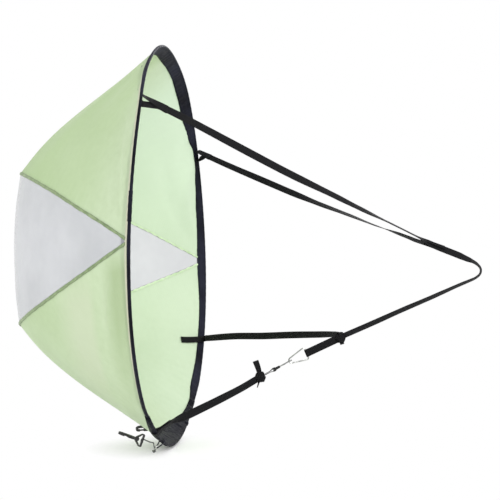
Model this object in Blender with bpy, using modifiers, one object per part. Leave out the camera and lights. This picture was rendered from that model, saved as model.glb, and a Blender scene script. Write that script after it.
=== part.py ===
# Downwind sail for a canoe or kayak: a sprung hoop, a dished sail with a clear window,
# rein straps that meet in the paddler's hand, and two snap hooks for the deck.
# Metres, +Z up. The hoop stands in the plane x = 0, +X points aft to the paddler, +Y across the boat.
# The origin is at the foot of the hoop, midway between the two deck hooks.

import math

import bmesh
import bpy
from mathutils import Matrix, Vector

# Hoop
hoop_width = 1.080
hoop_height = 1.060
rod_diameter = 0.005
ferrule_wall = 0.0006
ferrule_length = 0.050
ferrule_place_deg = 180.0
gap = 0.0003

# Sail
belly_depth = 0.424
panel_puff = 0.036
panel_puff_towards_seam = 0.008
window_bulge = 0.018
window_rise = 0.222
window_fall = 0.193
window_tip_drop = 0.020
panel_thickness = 0.0010
window_thickness = 0.0008
belly_power_share = 1.6
seam_power_share = 1.8
seam_tape_width = 0.010
seam_tape_thickness = 0.0008

# Rim sleeve and foot patch
sleeve_thickness = 0.0008
sleeve_flap = 0.029
flap_clearance = 0.0011
patch_flap = 0.054
patch_start_deg = -212.0
patch_end_deg = -143.0
sleeve_end_start_deg = -85.0
sleeve_end_end_deg = -77.5

# Webbing and reins
webbing_width = 0.020
webbing_thickness = 0.0016
hoop_loop_length = 0.028
hoop_loop_tail = 0.018
upper_loop_deg = 51.8
lower_near_loop_deg = -152.5
lower_far_strap_deg = 120.6
stitched_tail = 0.062
rein_reach = 0.808
rein_lap = 0.030
slot_clearance = 0.0004

# Knots and their tails
knot_length = 0.030
knot_width = 0.034
knot_depth = 0.016
knot_bight_share = 0.16
tail_length = 0.014
spike_length = 0.006
spike_width = 0.005

# Pear clip between the reins
clip_length = 0.056
clip_wide = 0.036
clip_narrow = 0.018
clip_wire = 0.0036
clip_corner = 0.005
clip_gate_start_share = 0.18
clip_gate_end_share = 0.82

# Ring tabs, tethers and deck hooks
tab_width = 0.010
tab_thickness = 0.0012
tab_length = 0.018
tab_place_deg = 161.0
tab_lean_share = 0.8
ring_wire = 0.0025
ring_bar = 0.014
ring_drop = 0.013
tether_diameter = 0.003

hook_reach = 0.046
hook_width = 0.021
hook_arm = 0.005
hook_thickness = 0.006
hook_seat = 0.003
hook_throat = 0.014
hook_neck = 0.010
gate_thickness = 0.0026
gate_height = 0.0044
gate_pin = 0.0016
eye_width = 0.032
eye_depth = 0.020
eye_wall = 0.0035
eye_thickness = 0.007
stem_diameter = 0.004
stem_head = 0.007
stem_head_thickness = 0.002
running_gap = 0.0003

# How far each deck hook is turned on its swivel
near_swivel_deg = 84.0
far_swivel_deg = 60.0

# The small swivel snap is the same form at these shares of the deck hook's size and eye
small_snap_share = 0.80
small_eye_share = 0.90
small_thickness_share = 0.55

hoop_segments = 72
panel_columns = 40
panel_rows = 8
window_rows = 4

half_width = hoop_width / 2
half_height = hoop_height / 2
rod_radius = rod_diameter / 2
ferrule_radius = rod_radius + gap + ferrule_wall
fold_corner = 1 / math.cos(math.radians(20))
sleeve_radius = ferrule_radius + gap + sleeve_thickness / 2
sleeve_outer = sleeve_radius * fold_corner + sleeve_thickness / 2
patch_radius = sleeve_radius + sleeve_thickness + gap
patch_outer = patch_radius * fold_corner + sleeve_thickness / 2
flap_lift = panel_thickness / 2 + flap_clearance + sleeve_thickness / 2
patch_lift = flap_lift + sleeve_thickness + gap
panel_inset = rod_radius + ferrule_wall + 3 * gap
centre_height = half_height + patch_outer


# Materials

def material(name, colour, roughness, metallic=0.0, alpha=1.0):
    made = bpy.data.materials.new(name)
    made.use_nodes = True
    shader = made.node_tree.nodes["Principled BSDF"]
    shader.inputs["Base Color"].default_value = (*colour, 1.0)
    shader.inputs["Roughness"].default_value = roughness
    shader.inputs["Metallic"].default_value = metallic
    shader.inputs["Alpha"].default_value = alpha
    return made


# Scene and object helpers

def clear_scene():
    for old in list(bpy.data.objects):
        bpy.data.objects.remove(old, do_unlink=True)


clear_scene()
sail_parts = bpy.data.collections.new("downwind_sail")
cutter_parts = bpy.data.collections.new("cutters")
bpy.context.scene.collection.children.link(sail_parts)
bpy.context.scene.collection.children.link(cutter_parts)

hoop_centre = bpy.data.objects.new("hoop_centre", None)
hoop_centre.location = (0.0, 0.0, centre_height)
hoop_centre.empty_display_size = half_width
sail_parts.objects.link(hoop_centre)


def place(obj, frame=None):
    """Puts an object in the hoop centre's frame, or in the given frame there."""
    obj.parent = hoop_centre
    obj.matrix_local = frame if frame is not None else Matrix.Identity(4)


def new_piece(name, data, paint, frame=None):
    piece = bpy.data.objects.new(name, data)
    data.materials.append(paint)
    sail_parts.objects.link(piece)
    place(piece, frame)
    return piece


def new_cutter(name, data, frame=None):
    cutter = bpy.data.objects.new(name, data)
    cutter_parts.objects.link(cutter)
    place(cutter, frame)
    cutter.hide_render = True
    cutter.display_type = "WIRE"
    return cutter


def combine(piece, other, operation):
    step = piece.modifiers.new(other.name, "BOOLEAN")
    step.operation = operation
    step.solver = "EXACT"
    step.object = other


def thicken(piece, thickness):
    shell = piece.modifiers.new("thickness", "SOLIDIFY")
    shell.thickness = thickness
    shell.offset = 0.0
    shell.use_even_offset = True


def grid_mesh(name, rows, closed=False):
    """A sheet through rows of points. A row of one point closes to a tip."""
    form = bmesh.new()
    made = [[form.verts.new(point) for point in row] for row in rows]
    pairs = list(zip(made, made[1:]))
    if closed:
        pairs.append((made[-1], made[0]))
    for first, second in pairs:
        count = max(len(first), len(second))
        for i in range(count - 1):
            ring = [first[min(i, len(first) - 1)], first[min(i + 1, len(first) - 1)]]
            ring += [second[min(i + 1, len(second) - 1)], second[min(i, len(second) - 1)]]
            corners = list(dict.fromkeys(ring))
            if len(corners) > 2:
                form.faces.new(corners)
    bmesh.ops.recalc_face_normals(form, faces=form.faces)
    sheet = bpy.data.meshes.new(name)
    form.to_mesh(sheet)
    form.free()
    sheet.shade_smooth()
    return sheet


def box_mesh(name, size):
    form = bmesh.new()
    bmesh.ops.create_cube(form, size=1.0)
    bmesh.ops.scale(form, vec=size, verts=form.verts)
    solid = bpy.data.meshes.new(name)
    form.to_mesh(solid)
    form.free()
    return solid


def cylinder_mesh(name, radius, length, sides=16):
    form = bmesh.new()
    bmesh.ops.create_cone(
        form, cap_ends=True, segments=sides, radius1=radius, radius2=radius, depth=length
    )
    solid = bpy.data.meshes.new(name)
    form.to_mesh(solid)
    form.free()
    return solid


def plate_mesh(name, outline, thickness):
    """A flat outline in x and y, as a plate centred on z = 0."""
    form = bmesh.new()
    face = form.faces.new([form.verts.new((x, y, -thickness / 2)) for x, y in outline])
    raised = bmesh.ops.extrude_face_region(form, geom=[face])
    lifted = [item for item in raised["geom"] if isinstance(item, bmesh.types.BMVert)]
    bmesh.ops.translate(form, vec=(0, 0, thickness), verts=lifted)
    bmesh.ops.recalc_face_normals(form, faces=form.faces)
    solid = bpy.data.meshes.new(name)
    form.to_mesh(solid)
    form.free()
    return solid


def wire_curve(name, points, diameter, closed=False, resolution=2):
    """A round wire or cord through the points."""
    curve = bpy.data.curves.new(name, "CURVE")
    curve.dimensions = "3D"
    curve.bevel_depth = diameter / 2
    curve.bevel_resolution = resolution
    curve.use_fill_caps = not closed
    run = curve.splines.new("POLY")
    run.points.add(len(points) - 1)
    for point, place_at in zip(run.points, points):
        point.co = (*place_at, 1.0)
    run.use_cyclic_u = closed
    return curve


def frame_of(origin, along, across):
    """A frame with its x along one direction and its y as near as can be to another."""
    x_axis = along.normalized()
    z_axis = x_axis.cross(across).normalized()
    y_axis = z_axis.cross(x_axis)
    turn = Matrix((x_axis, y_axis, z_axis)).transposed().to_4x4()
    return Matrix.Translation(origin) @ turn


def smooth_path(points, step):
    """A smooth curve through the points, with a point about every step."""
    ends = [2 * points[0] - points[1]] + list(points) + [2 * points[-1] - points[-2]]
    path = []
    for before, start, end, after in zip(ends, ends[1:], ends[2:], ends[3:]):
        count = max(1, round((end - start).length / step))
        for i in range(count):
            t = i / count
            path.append(
                start
                + (end - before) * (t / 2)
                + (2 * before - 5 * start + 4 * end - after) * (t * t / 2)
                + (3 * (start - end) + after - before) * (t**3 / 2)
            )
    path.append(points[-1])
    return path


def ribbon_mesh(name, path, stops, width):
    """A flat strip along a path. Each stop is a share of its length and the width's direction there."""
    lengths = [0.0]
    for first, second in zip(path, path[1:]):
        lengths.append(lengths[-1] + (second - first).length)
    rows = []
    for i, point in enumerate(path):
        along = path[min(i + 1, len(path) - 1)] - path[max(i - 1, 0)]
        share = lengths[i] / lengths[-1]
        low = max(k for k in range(len(stops) - 1) if stops[k][0] <= share)
        span = stops[low + 1][0] - stops[low][0]
        side = stops[low][1].lerp(stops[low + 1][1], (share - stops[low][0]) / span)
        side = (side - along * (side.dot(along) / along.length_squared)).normalized()
        rows.append([point - side * (width / 2), point + side * (width / 2)])
    return grid_mesh(name, rows)


# The form of the sail

def rim(degrees, inset=0.0):
    """The hoop's centre line, turned from its top towards +Y, or a line that far inside it."""
    turn = math.radians(degrees)
    return Vector(
        (0.0, (half_width - inset) * math.sin(turn), (half_height - inset) * math.cos(turn))
    )


tip_reach = half_width * math.sqrt(1 - (window_tip_drop / half_height) ** 2)


def seam_height(y, upper):
    fullness = 1 - min(abs(y) / tip_reach, 1.0) ** seam_power_share
    return -window_tip_drop + (window_rise if upper else -window_fall) * fullness


def sail_x(y, z):
    """How far forward the cloth stands at a point of the hoop's plane."""
    across = min(abs(y) / tip_reach, 1.0)
    fullness = 1 - across**belly_power_share
    upper = seam_height(y, True)
    lower = seam_height(y, False)
    if lower <= z <= upper:
        middle = (upper + lower) / 2
        half = max((upper - lower) / 2, panel_thickness)
        return -belly_depth * fullness - window_bulge * fullness * (1 - ((z - middle) / half) ** 2)
    rim_z = half_height * math.sqrt(max(0.0, 1 - (y / half_width) ** 2))
    seam, edge = (upper, rim_z) if z > upper else (lower, -rim_z)
    if abs(z) >= abs(edge):
        return 0.0
    share = (z - seam) / (edge - seam)
    puff = panel_puff * math.sin(math.pi * share) + panel_puff_towards_seam * math.sin(2 * math.pi * share)
    return -fullness * (belly_depth * (1 - share) + puff)


def sail_point(y, z, lift=0.0):
    """A point of the cloth, lifted off it towards the inside of the bowl."""
    step = panel_thickness / 2
    slope_y = (sail_x(y + step, z) - sail_x(y - step, z)) / (2 * step)
    slope_z = (sail_x(y, z + step) - sail_x(y, z - step)) / (2 * step)
    return Vector((sail_x(y, z), y, z)) + Vector((1, -slope_y, -slope_z)).normalized() * lift


def edge_height(y):
    """The height of the cloth's edge inside the sleeve."""
    reach = (y / (half_width - panel_inset)) ** 2
    return (half_height - panel_inset) * math.sqrt(max(0.0, 1 - reach))


def panel_end(upper):
    """Where the seam line meets the cloth's edge."""
    low, high = tip_reach / 2, half_width - panel_inset
    for _ in range(40):
        middle = (low + high) / 2
        seam = seam_height(middle, upper) + (gap if upper else -gap)
        edge = edge_height(middle) if upper else -edge_height(middle)
        inside = edge > seam if upper else edge < seam
        low, high = (middle, high) if inside else (low, middle)
    return low


# Cloth panels

def make_panel(name, upper, paint):
    end = panel_end(upper)
    sign = 1 if upper else -1
    rows = []
    for k in range(panel_columns + 1):
        y = -end * math.cos(math.pi * k / panel_columns)
        seam = seam_height(y, upper) + sign * gap
        edge = sign * edge_height(y)
        if k in (0, panel_columns):
            rows.append([Vector((sail_x(y, edge), y, edge))])
            continue
        row = []
        for j in range(panel_rows + 1):
            z = seam + (edge - seam) * j / panel_rows
            row.append(Vector((sail_x(y, z), y, z)))
        rows.append(row)
    panel = new_piece(name, grid_mesh(name, rows), paint)
    thicken(panel, panel_thickness)
    return panel


def make_window(paint):
    end = half_width - 2 * panel_inset
    rows = []
    for k in range(panel_columns + 1):
        y = -end * math.cos(math.pi * k / panel_columns)
        low = seam_height(y, False) + gap
        high = seam_height(y, True) - gap
        row = []
        for j in range(window_rows + 1):
            z = low + (high - low) * j / window_rows
            row.append(Vector((sail_x(y, z), y, z)))
        rows.append(row)
    window = new_piece("window", grid_mesh("window", rows), paint)
    thicken(window, window_thickness)
    return window


def make_seam_tape(name, upper, paint):
    """A tape over the outside of the join between the window and a panel."""
    end = half_width - sleeve_flap - 2 * seam_tape_width
    sign = 1 if upper else -1
    lift = -(panel_thickness + seam_tape_thickness) / 2 - flap_clearance
    rows = []
    for k in range(panel_columns + 1):
        y = -end * math.cos(math.pi * k / panel_columns)
        seam = seam_height(y, upper)
        inner = sail_point(y, seam - sign * seam_tape_width / 2, lift)
        outer = sail_point(y, seam + sign * seam_tape_width / 2, lift)
        window_side = sail_point(y, seam - sign * panel_thickness, lift)
        panel_side = sail_point(y, seam + sign * panel_thickness, lift)
        rows.append([inner, (window_side + panel_side) / 2, outer])
    tape = new_piece(name, grid_mesh(name, rows), paint)
    thicken(tape, seam_tape_thickness)
    return tape


# Sleeve and patch folded over the rim

rounding_share = 0.01


def hoop_turns(start, end):
    """The hoop's stations from one turn to another: every layer on the rim has its sections there."""
    step = 360 / hoop_segments
    first = math.ceil(start / step - rounding_share)
    last = math.floor(end / step + rounding_share)
    turns = set()
    for k in range(first, last + 1):
        turns.add(k * step)
        past_tip = abs(k * step) % 180 - 90
        if abs(past_tip) < 3 * step and start <= k * step + step / 2 <= end:
            turns.add(k * step + step / 2)
    return sorted(turns)


def hoop_line(degrees):
    """A point of the hoop's faceted centre line."""
    stations = hoop_turns(-360, 720)
    after = next(turn for turn in stations if turn > degrees)
    before = stations[stations.index(after) - 1]
    return rim(before).lerp(rim(after), (degrees - before) / (after - before))


def rim_frame(degrees):
    """The rim's point, its direction, the direction into the cloth and the way to the bowl's inside."""
    centre = hoop_line(degrees)
    step = 180 / hoop_segments
    along = (hoop_line(degrees + step) - hoop_line(degrees - step)).normalized()
    inner = rim(degrees, sleeve_flap)
    inward = sail_point(inner.y, inner.z) - centre
    inward = (inward - along * inward.dot(along)).normalized()
    aft = inward.cross(along)
    if aft.x < 0:
        aft = -aft
    return centre, along, inward, aft


fold_turns_deg = (60, 100, 140, 180, 220, 260, 300)
flap_shares = (1.0, 0.5)


def cloth_place(degrees, length, lift=0.0):
    """The place on the cloth a length in from the rim, measured along the cloth."""
    inset = length
    for _ in range(4):
        inner = rim(degrees, inset)
        inset *= length / (sail_point(inner.y, inner.z) - rim(degrees)).length
    inner = rim(degrees, inset)
    return sail_point(inner.y, inner.z, lift)


def fold_row(degrees, radius, lift, flap):
    """A section through cloth folded over the rim, from one flap's end to the other's."""
    centre, along, inward, aft = rim_frame(degrees)
    corner = radius * fold_corner
    bed = []
    for share in flap_shares:
        offset = cloth_place(degrees, flap * share) - centre
        bed.append((offset.dot(inward), offset.dot(aft)))
    near = radius + 2 * lift / 3
    bed.append((near, bed[-1][1] * near / bed[-1][0]))
    outline = [(a, b + lift) for a, b in bed]
    for turn in fold_turns_deg:
        angle = math.radians(turn)
        outline.append((corner * math.cos(angle), corner * math.sin(angle)))
    outline += [(a, b - lift) for a, b in reversed(bed)]
    return [centre + inward * a + aft * b for a, b in outline]


def make_sleeve(paint):
    turns = hoop_turns(0, 360)[:-1]
    rows = [fold_row(degrees, sleeve_radius, flap_lift, sleeve_flap) for degrees in turns]
    sleeve = new_piece("rim_sleeve", grid_mesh("rim_sleeve", rows, closed=True), paint)
    thicken(sleeve, sleeve_thickness)
    return sleeve


def make_patch(paint):
    turns = hoop_turns(patch_start_deg, patch_end_deg)
    rows = []
    for k, degrees in enumerate(turns):
        spread = math.sin(math.pi * k / (len(turns) - 1))
        flap = sleeve_flap - 4 * gap + (patch_flap - sleeve_flap) * spread
        rows.append(fold_row(degrees, patch_radius, patch_lift, flap))
    patch = new_piece("foot_patch", grid_mesh("foot_patch", rows), paint)
    thicken(patch, sleeve_thickness)
    return patch


def make_sleeve_end(paint):
    """The sleeve's end, turned over its start."""
    turns = hoop_turns(sleeve_end_start_deg, sleeve_end_end_deg)
    rows = [
        fold_row(degrees, patch_radius, patch_lift, sleeve_flap - 4 * gap) for degrees in turns
    ]
    end = new_piece("sleeve_end", grid_mesh("sleeve_end", rows), paint)
    thicken(end, sleeve_thickness)
    return end


def make_rod(paint):
    join = math.degrees(gap / half_width)
    start = ferrule_place_deg + join
    turns = [turn for turn in hoop_turns(start, start + 360) if turn < ferrule_place_deg + 360 - join]
    turns = [start] + [turn for turn in turns if turn > start] + [ferrule_place_deg + 360 - join]
    points = [hoop_line(turn) for turn in turns]
    rod = wire_curve("hoop_rod", points, rod_diameter, resolution=1)
    return new_piece("hoop_rod", rod, paint)


def make_ferrule(paint):
    """The tube that joins the rod's two ends."""
    step = 360 / hoop_segments
    middle = rim(ferrule_place_deg)
    rows = []
    for sign in (-1, 0, 1):
        centre, along, inward, aft = rim_frame(ferrule_place_deg + sign * step)
        reach = ferrule_length / 2 / (centre - middle).length if sign else 0.0
        centre = middle.lerp(centre, reach)
        ring = []
        for i in range(16):
            turn = 2 * math.pi * i / 16
            spoke = inward * math.cos(turn) + aft * math.sin(turn)
            ring.append((centre, spoke))
        rows.append(ring)
    form = bmesh.new()
    bore = rod_radius + gap
    shells = []
    for radius in (bore, ferrule_radius):
        shells.append(
            [[form.verts.new(middle + spoke * radius) for middle, spoke in ring] for ring in rows]
        )
    inner, outer = shells
    for i in range(16):
        j = (i + 1) % 16
        for k in (0, 1):
            form.faces.new((outer[k][i], outer[k][j], outer[k + 1][j], outer[k + 1][i]))
            form.faces.new((inner[k][j], inner[k][i], inner[k + 1][i], inner[k + 1][j]))
        form.faces.new((inner[0][i], inner[0][j], outer[0][j], outer[0][i]))
        form.faces.new((outer[-1][i], outer[-1][j], inner[-1][j], inner[-1][i]))
    bmesh.ops.recalc_face_normals(form, faces=form.faces)
    tube = bpy.data.meshes.new("rod_ferrule")
    form.to_mesh(tube)
    form.free()
    tube.shade_smooth()
    return new_piece("rod_ferrule", tube, paint)


# Webbing loops round the rim, through slots in the cloth

def loop_directions(degrees, towards):
    centre, along, inward, aft = rim_frame(degrees)
    pull = towards - centre
    pull = (pull - along * pull.dot(along)).normalized()
    return centre, along, inward, aft, pull


def cut_slot(pieces, name, degrees, wrapped, width, thickness):
    """A slot through the cloth just inside the rim, for a loop to pass."""
    centre, along, inward, aft = rim_frame(degrees)
    band = wrapped + gap + thickness / 2
    layers = patch_lift + sleeve_thickness
    near = math.sqrt((band - thickness / 2) ** 2 - layers**2) - slot_clearance
    far = band * loop_corner + thickness / 2 + slot_clearance
    size = (far - near, width + 4 * slot_clearance, 4 * wrapped)
    spot = frame_of(centre + inward * (near + far) / 2, inward, along)
    cutter = new_cutter(name, box_mesh(name, size), spot)
    for piece in pieces:
        combine(piece, cutter, "DIFFERENCE")


loop_turns_deg = (72, 108, 144, 180, 216, 252, 288)
loop_corner = 1 / math.cos(math.radians(18))


def make_bight(name, spot, bar_radius, reach, legs_end, half_stack, paint):
    """Webbing folded round a bar that lies along the frame's z. Its legs run out along x."""
    radius = (bar_radius + gap + webbing_thickness / 2) * loop_corner
    outline = [(legs_end, half_stack), (reach, half_stack)]
    for turn in loop_turns_deg:
        angle = math.radians(turn)
        outline.append((radius * math.cos(angle), radius * math.sin(angle)))
    outline += [(reach, -half_stack), (legs_end, -half_stack)]
    rows = []
    half = webbing_width / 2
    for a, b in outline:
        rows.append([Vector((a, b, -half)), Vector((a, b, half))])
    bend = new_piece(name, grid_mesh(name, rows), paint, spot)
    thicken(bend, webbing_thickness)
    return bend


def make_hoop_loop(name, degrees, towards, wrapped, paint):
    """Webbing folded round the rim, its two legs closing on the strap's end."""
    centre, along, inward, aft, pull = loop_directions(degrees, towards)
    spot = frame_of(centre, pull, pull.cross(along))
    legs_end = hoop_loop_length + hoop_loop_tail
    make_bight(name, spot, wrapped, hoop_loop_length, legs_end, webbing_thickness + gap, paint)


def strap_start(degrees, towards):
    """The strap's end between the loop's legs, where it leaves them, and its width direction."""
    centre, along, inward, aft, pull = loop_directions(degrees, towards)
    leaves = centre + pull * (hoop_loop_length + hoop_loop_tail + gap)
    return centre + pull * (hoop_loop_length + gap), leaves, along


def make_strap(name, path, stops, paint):
    strap = new_piece(name, ribbon_mesh(name, path, stops, webbing_width), paint)
    thicken(strap, webbing_thickness)
    return strap


# The places of the reins, as shares of the reach and of half the hoop's height

def rein_place(reach_share, side_share, height_share):
    return Vector(
        (rein_reach * reach_share, half_width * side_share, half_height * height_share)
    )


rein_place_shares = {
    "merge": (0.800, 0.0, 0.030),
    "hand_top": (0.945, 0.0, -0.065),
    "hand_tip": (1.000, 0.0, -0.130),
    "hand_bottom": (0.965, 0.0, -0.208),
    "knot_1": (0.552, 0.0, -0.470),
    "clip_foot": (0.3855, -0.0806, -0.585),
    "knot_2": (0.295, -0.125, -0.658),
    "lower_near_bend": (0.095, -0.370, -0.800),
    "far_strap_arch": (0.290, 0.440, -0.477),
    "near_eye": (-0.043, -0.463, -0.923),
    "near_tip": (-0.103, -0.519, -0.881),
    "far_eye": (-0.111, 0.390, -0.975),
    "far_tip": (-0.196, 0.380, -0.985),
}
rein_spots = {name: rein_place(*shares) for name, shares in rein_place_shares.items()}
merge = rein_spots["merge"]
hand_top = rein_spots["hand_top"]
hand_tip = rein_spots["hand_tip"]
hand_bottom = rein_spots["hand_bottom"]
knot_1_place = rein_spots["knot_1"]
knot_2_place = rein_spots["knot_2"]
clip_foot = rein_spots["clip_foot"]
clip_top = clip_foot + (knot_1_place - clip_foot).normalized() * (clip_length - clip_wire)
lower_near_bend = rein_spots["lower_near_bend"]
far_strap_arch = rein_spots["far_strap_arch"]


# Knots: pulled-down bights of webbing, joined with their loose tails

def knot_lump_mesh(name):
    form = bmesh.new()
    bmesh.ops.create_uvsphere(form, u_segments=16, v_segments=10, radius=0.5)
    for vert in form.verts:
        turn = math.atan2(vert.co.y, vert.co.x)
        swell = 1 + knot_bight_share * math.cos(3 * turn)
        vert.co.x *= swell
        vert.co.y *= swell
    bmesh.ops.scale(form, vec=(knot_length, knot_width, knot_depth), verts=form.verts)
    lump = bpy.data.meshes.new(name)
    form.to_mesh(lump)
    form.free()
    lump.shade_smooth()
    return lump


strap_width_shares = (-0.5, -0.25, 0.0, 0.25, 0.5)


def knot_seat(spot, run, side):
    """How far from a knot's middle a strap's square end just clears it."""
    turn = spot.to_3x3().inverted()
    run = run.normalized()
    side = (side - run * side.dot(run)).normalized()
    step = gap / 2
    reach = knot_depth / 2
    for share in strap_width_shares:
        away = knot_width
        while away > reach:
            place_at = turn @ (run * away + side * (webbing_width * share))
            flat_x = place_at.x / knot_length
            flat_y = place_at.y / knot_width
            swell = 1 + knot_bight_share * math.cos(3 * math.atan2(flat_y, flat_x))
            if math.hypot(flat_x / swell, flat_y / swell, place_at.z / knot_depth) < 0.5:
                reach = away
            away -= step
    return reach + gap


def make_knot(name, spot, tail_turns, paint):
    """A knot with a flat tail in each of the given directions of its own plane."""
    knot = new_piece(name, knot_lump_mesh(name), paint, spot)
    for number, (turn, length, width) in enumerate(tail_turns):
        outline = [
            (0.0, -width / 2),
            (0.0, width / 2),
            (knot_width / 2 + length, width / 2),
            (knot_width / 2 + length, -width / 2),
        ]
        tail_name = name + "_tail_" + str(number + 1)
        tail = plate_mesh(tail_name, outline, webbing_thickness)
        turned = Matrix.Rotation(math.radians(turn), 4, "Z")
        combine(knot, new_cutter(tail_name, tail, spot @ turned), "UNION")
    return knot


# Rings and wire fittings

def ring_path(bar, drop):
    """A D ring in x and y: a straight bar on the y axis at x = 0 and a bow out to x = drop."""
    half = bar / 2
    points = [Vector((0.0, -half, 0.0)), Vector((0.0, half, 0.0))]
    for k in range(9):
        turn = math.pi * (0.5 - k / 8)
        bow = half + ring_wire / 2
        points.append(
            Vector((ring_wire + (drop - ring_wire) * math.cos(turn), bow * math.sin(turn), 0.0))
        )
    return points


def clip_side():
    """Where the clip's straight sides start and end: its wide and narrow corners."""
    wide = clip_wide / 2 - clip_wire / 2
    narrow = clip_narrow / 2 - clip_wire / 2
    length = clip_length - clip_wire
    return wide, narrow, length


def make_clip(spot, paint):
    """A pear-shaped wire clip: its bar is on the frame's y, its narrow bow out along x."""
    wide, narrow, length = clip_side()
    corner = clip_corner
    bow_x = length - narrow
    top = Vector((corner, wide, 0.0))
    side_end = Vector((bow_x, narrow, 0.0))
    lower_start = Vector((corner, -wide, 0.0))
    lower_end = Vector((bow_x, -narrow, 0.0))
    run = lower_end - lower_start
    gate_start = lower_start + run * clip_gate_start_share
    gate_end = lower_start + run * clip_gate_end_share
    points = [gate_start]
    for x, y in arc(corner, -wide + corner, corner, 270, 180, 4):
        points.append(Vector((x, y, 0.0)))
    for x, y in arc(corner, wide - corner, corner, 180, 90, 4):
        points.append(Vector((x, y, 0.0)))
    points += [top.lerp(side_end, 0.5)]
    for x, y in arc(bow_x, 0.0, narrow, 90, -90, 8):
        points.append(Vector((x, y, 0.0)))
    points.append(gate_end)
    body = wire_curve("pear_clip_body", points, clip_wire)
    new_piece("pear_clip_body", body, paint, spot)

    # The gate pivots near its narrow end, and its wide end closes on the body
    inward = -run.normalized()
    pivot = gate_end + inward * (clip_wire / 2 + 2 * clip_wire / 5)
    turn = frame_of(pivot, inward, Vector((0.0, 1.0, 0.0)))
    length = (gate_start - pivot).length - gap
    gate = wire_curve(
        "pear_clip_gate", [Vector((-clip_wire / 4, 0, 0)), Vector((length, 0, 0))], clip_wire
    )
    return new_piece("pear_clip_gate", gate, paint, spot @ turn)


# The snap hooks: a moulded body, its swivel eye and its sprung gate

def arc(centre_x, centre_y, radius, start_deg, end_deg, count):
    points = []
    for k in range(count + 1):
        turn = math.radians(start_deg + (end_deg - start_deg) * k / count)
        points.append((centre_x + radius * math.cos(turn), centre_y + radius * math.sin(turn)))
    return points


class SnapSizes:
    """A snap hook's sizes at a share of the deck hook's, its eye at a share of its own."""

    def __init__(self, share, eye_share, thickness_share):
        self.reach = hook_reach * share
        self.half = hook_width * share / 2
        self.arm = hook_arm * share
        self.thickness = hook_thickness * thickness_share
        self.seat = hook_seat * share
        self.throat = hook_throat * share
        self.neck = hook_neck * share
        self.gate_thickness = gate_thickness * thickness_share
        self.gate_height = gate_height * share
        self.pin = gate_pin * share
        self.eye_width = eye_width * eye_share
        self.eye_depth = eye_depth * eye_share
        self.eye_wall = eye_wall * eye_share
        self.eye_thickness = eye_thickness * eye_share
        self.stem = stem_diameter * share
        self.head = stem_head * share
        self.head_thickness = stem_head_thickness * share
        self.bow_x = self.reach - self.half
        self.knuckle = self.gate_height / 2 + self.pin / 4
        self.pivot_x = self.bow_x - self.throat - self.knuckle
        self.pivot_y = -(self.half - self.knuckle)


def hook_outline(size):
    """The hook's side view: a neck that widens to the back arm, the bow and the nose."""
    inner = size.half - size.arm
    nose = size.bow_x - size.arm / 2
    points = [(0.0, -size.neck / 2), (0.0, size.neck / 2)]
    points.append((size.neck, size.half))
    points += arc(size.bow_x, 0.0, size.half, 90, -90, 12)
    points += [(nose, -size.half), (nose, -inner)]
    points += arc(size.bow_x, 0.0, inner, -90, -math.degrees(math.asin(size.seat / 2 / inner)), 4)
    points += arc(size.bow_x, 0.0, inner, math.degrees(math.asin(size.seat / 2 / inner)), 90, 4)
    back = size.pivot_x + size.knuckle + 2 * running_gap
    points += [(back + size.arm / 2, inner), (back, inner - size.arm / 2), (back, -size.half)]
    points.append((size.neck, -size.half))
    return points


def make_hook(name, size, eye_spot, swivel_deg, paint, gate_paint, eye_paint):
    """A snap hook with its swivel stem, its gate on a pin through a slotted ear, and its eye."""
    spot = eye_spot @ Matrix.Rotation(math.radians(swivel_deg), 4, "X")
    body = new_piece(
        name + "_body", plate_mesh(name + "_body", hook_outline(size), size.thickness), paint, spot
    )
    pivot = spot @ Matrix.Translation((size.pivot_x, size.pivot_y, 0.0))

    slot_size = (
        2 * size.knuckle + 4 * running_gap,
        4 * size.knuckle + 4 * running_gap,
        size.gate_thickness + 2 * running_gap,
    )
    slot = new_cutter(name + "_gate_slot", box_mesh(name + "_gate_slot", slot_size), pivot)
    combine(body, slot, "DIFFERENCE")
    pin = cylinder_mesh(name + "_gate_pin", size.pin / 2, size.thickness - running_gap, 12)
    combine(body, new_cutter(name + "_gate_pin", pin, pivot), "UNION")

    # The stem runs back from the neck through the eye, and its head holds it there
    crown = size.eye_wall + size.arm / 2
    stem_length = running_gap + crown + running_gap + size.head_thickness
    stem = new_cutter(
        name + "_stem",
        cylinder_mesh(name + "_stem", size.stem / 2, stem_length + size.neck / 2),
        spot @ along_x((size.neck / 2 - stem_length) / 2),
    )
    combine(body, stem, "UNION")
    head = new_cutter(
        name + "_stem_head",
        cylinder_mesh(name + "_stem_head", size.head / 2, size.head_thickness),
        spot @ along_x(size.head_thickness / 2 - stem_length),
    )
    combine(body, head, "UNION")

    make_gate(name, size, pivot, gate_paint)
    make_eye(name, size, crown, eye_spot, eye_paint)


def along_x(distance):
    """A turned piece's own axis laid along x, that far along it."""
    return Matrix.Translation((distance, 0.0, 0.0)) @ Matrix.Rotation(math.pi / 2, 4, "Y")


def make_gate(name, size, pivot, paint):
    """A bar from the gate's pin to the nose, its end an arc about the pin."""
    half = size.gate_height / 2
    nose = size.bow_x - size.arm / 2
    reach = nose - running_gap - size.pivot_x
    tip_turn = math.degrees(math.asin(half / reach))
    outline = arc(0.0, 0.0, size.knuckle, 60, 300, 10)
    outline += arc(0.0, 0.0, reach, -tip_turn, tip_turn, 3)
    bar = plate_mesh(name + "_gate", outline, size.gate_thickness)
    gate = new_piece(name + "_gate", bar, paint, pivot)
    bore = cylinder_mesh(name + "_gate_bore", size.pin / 2 + running_gap, size.thickness, 12)
    combine(gate, new_cutter(name + "_gate_bore", bore, pivot), "DIFFERENCE")
    return gate


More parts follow.
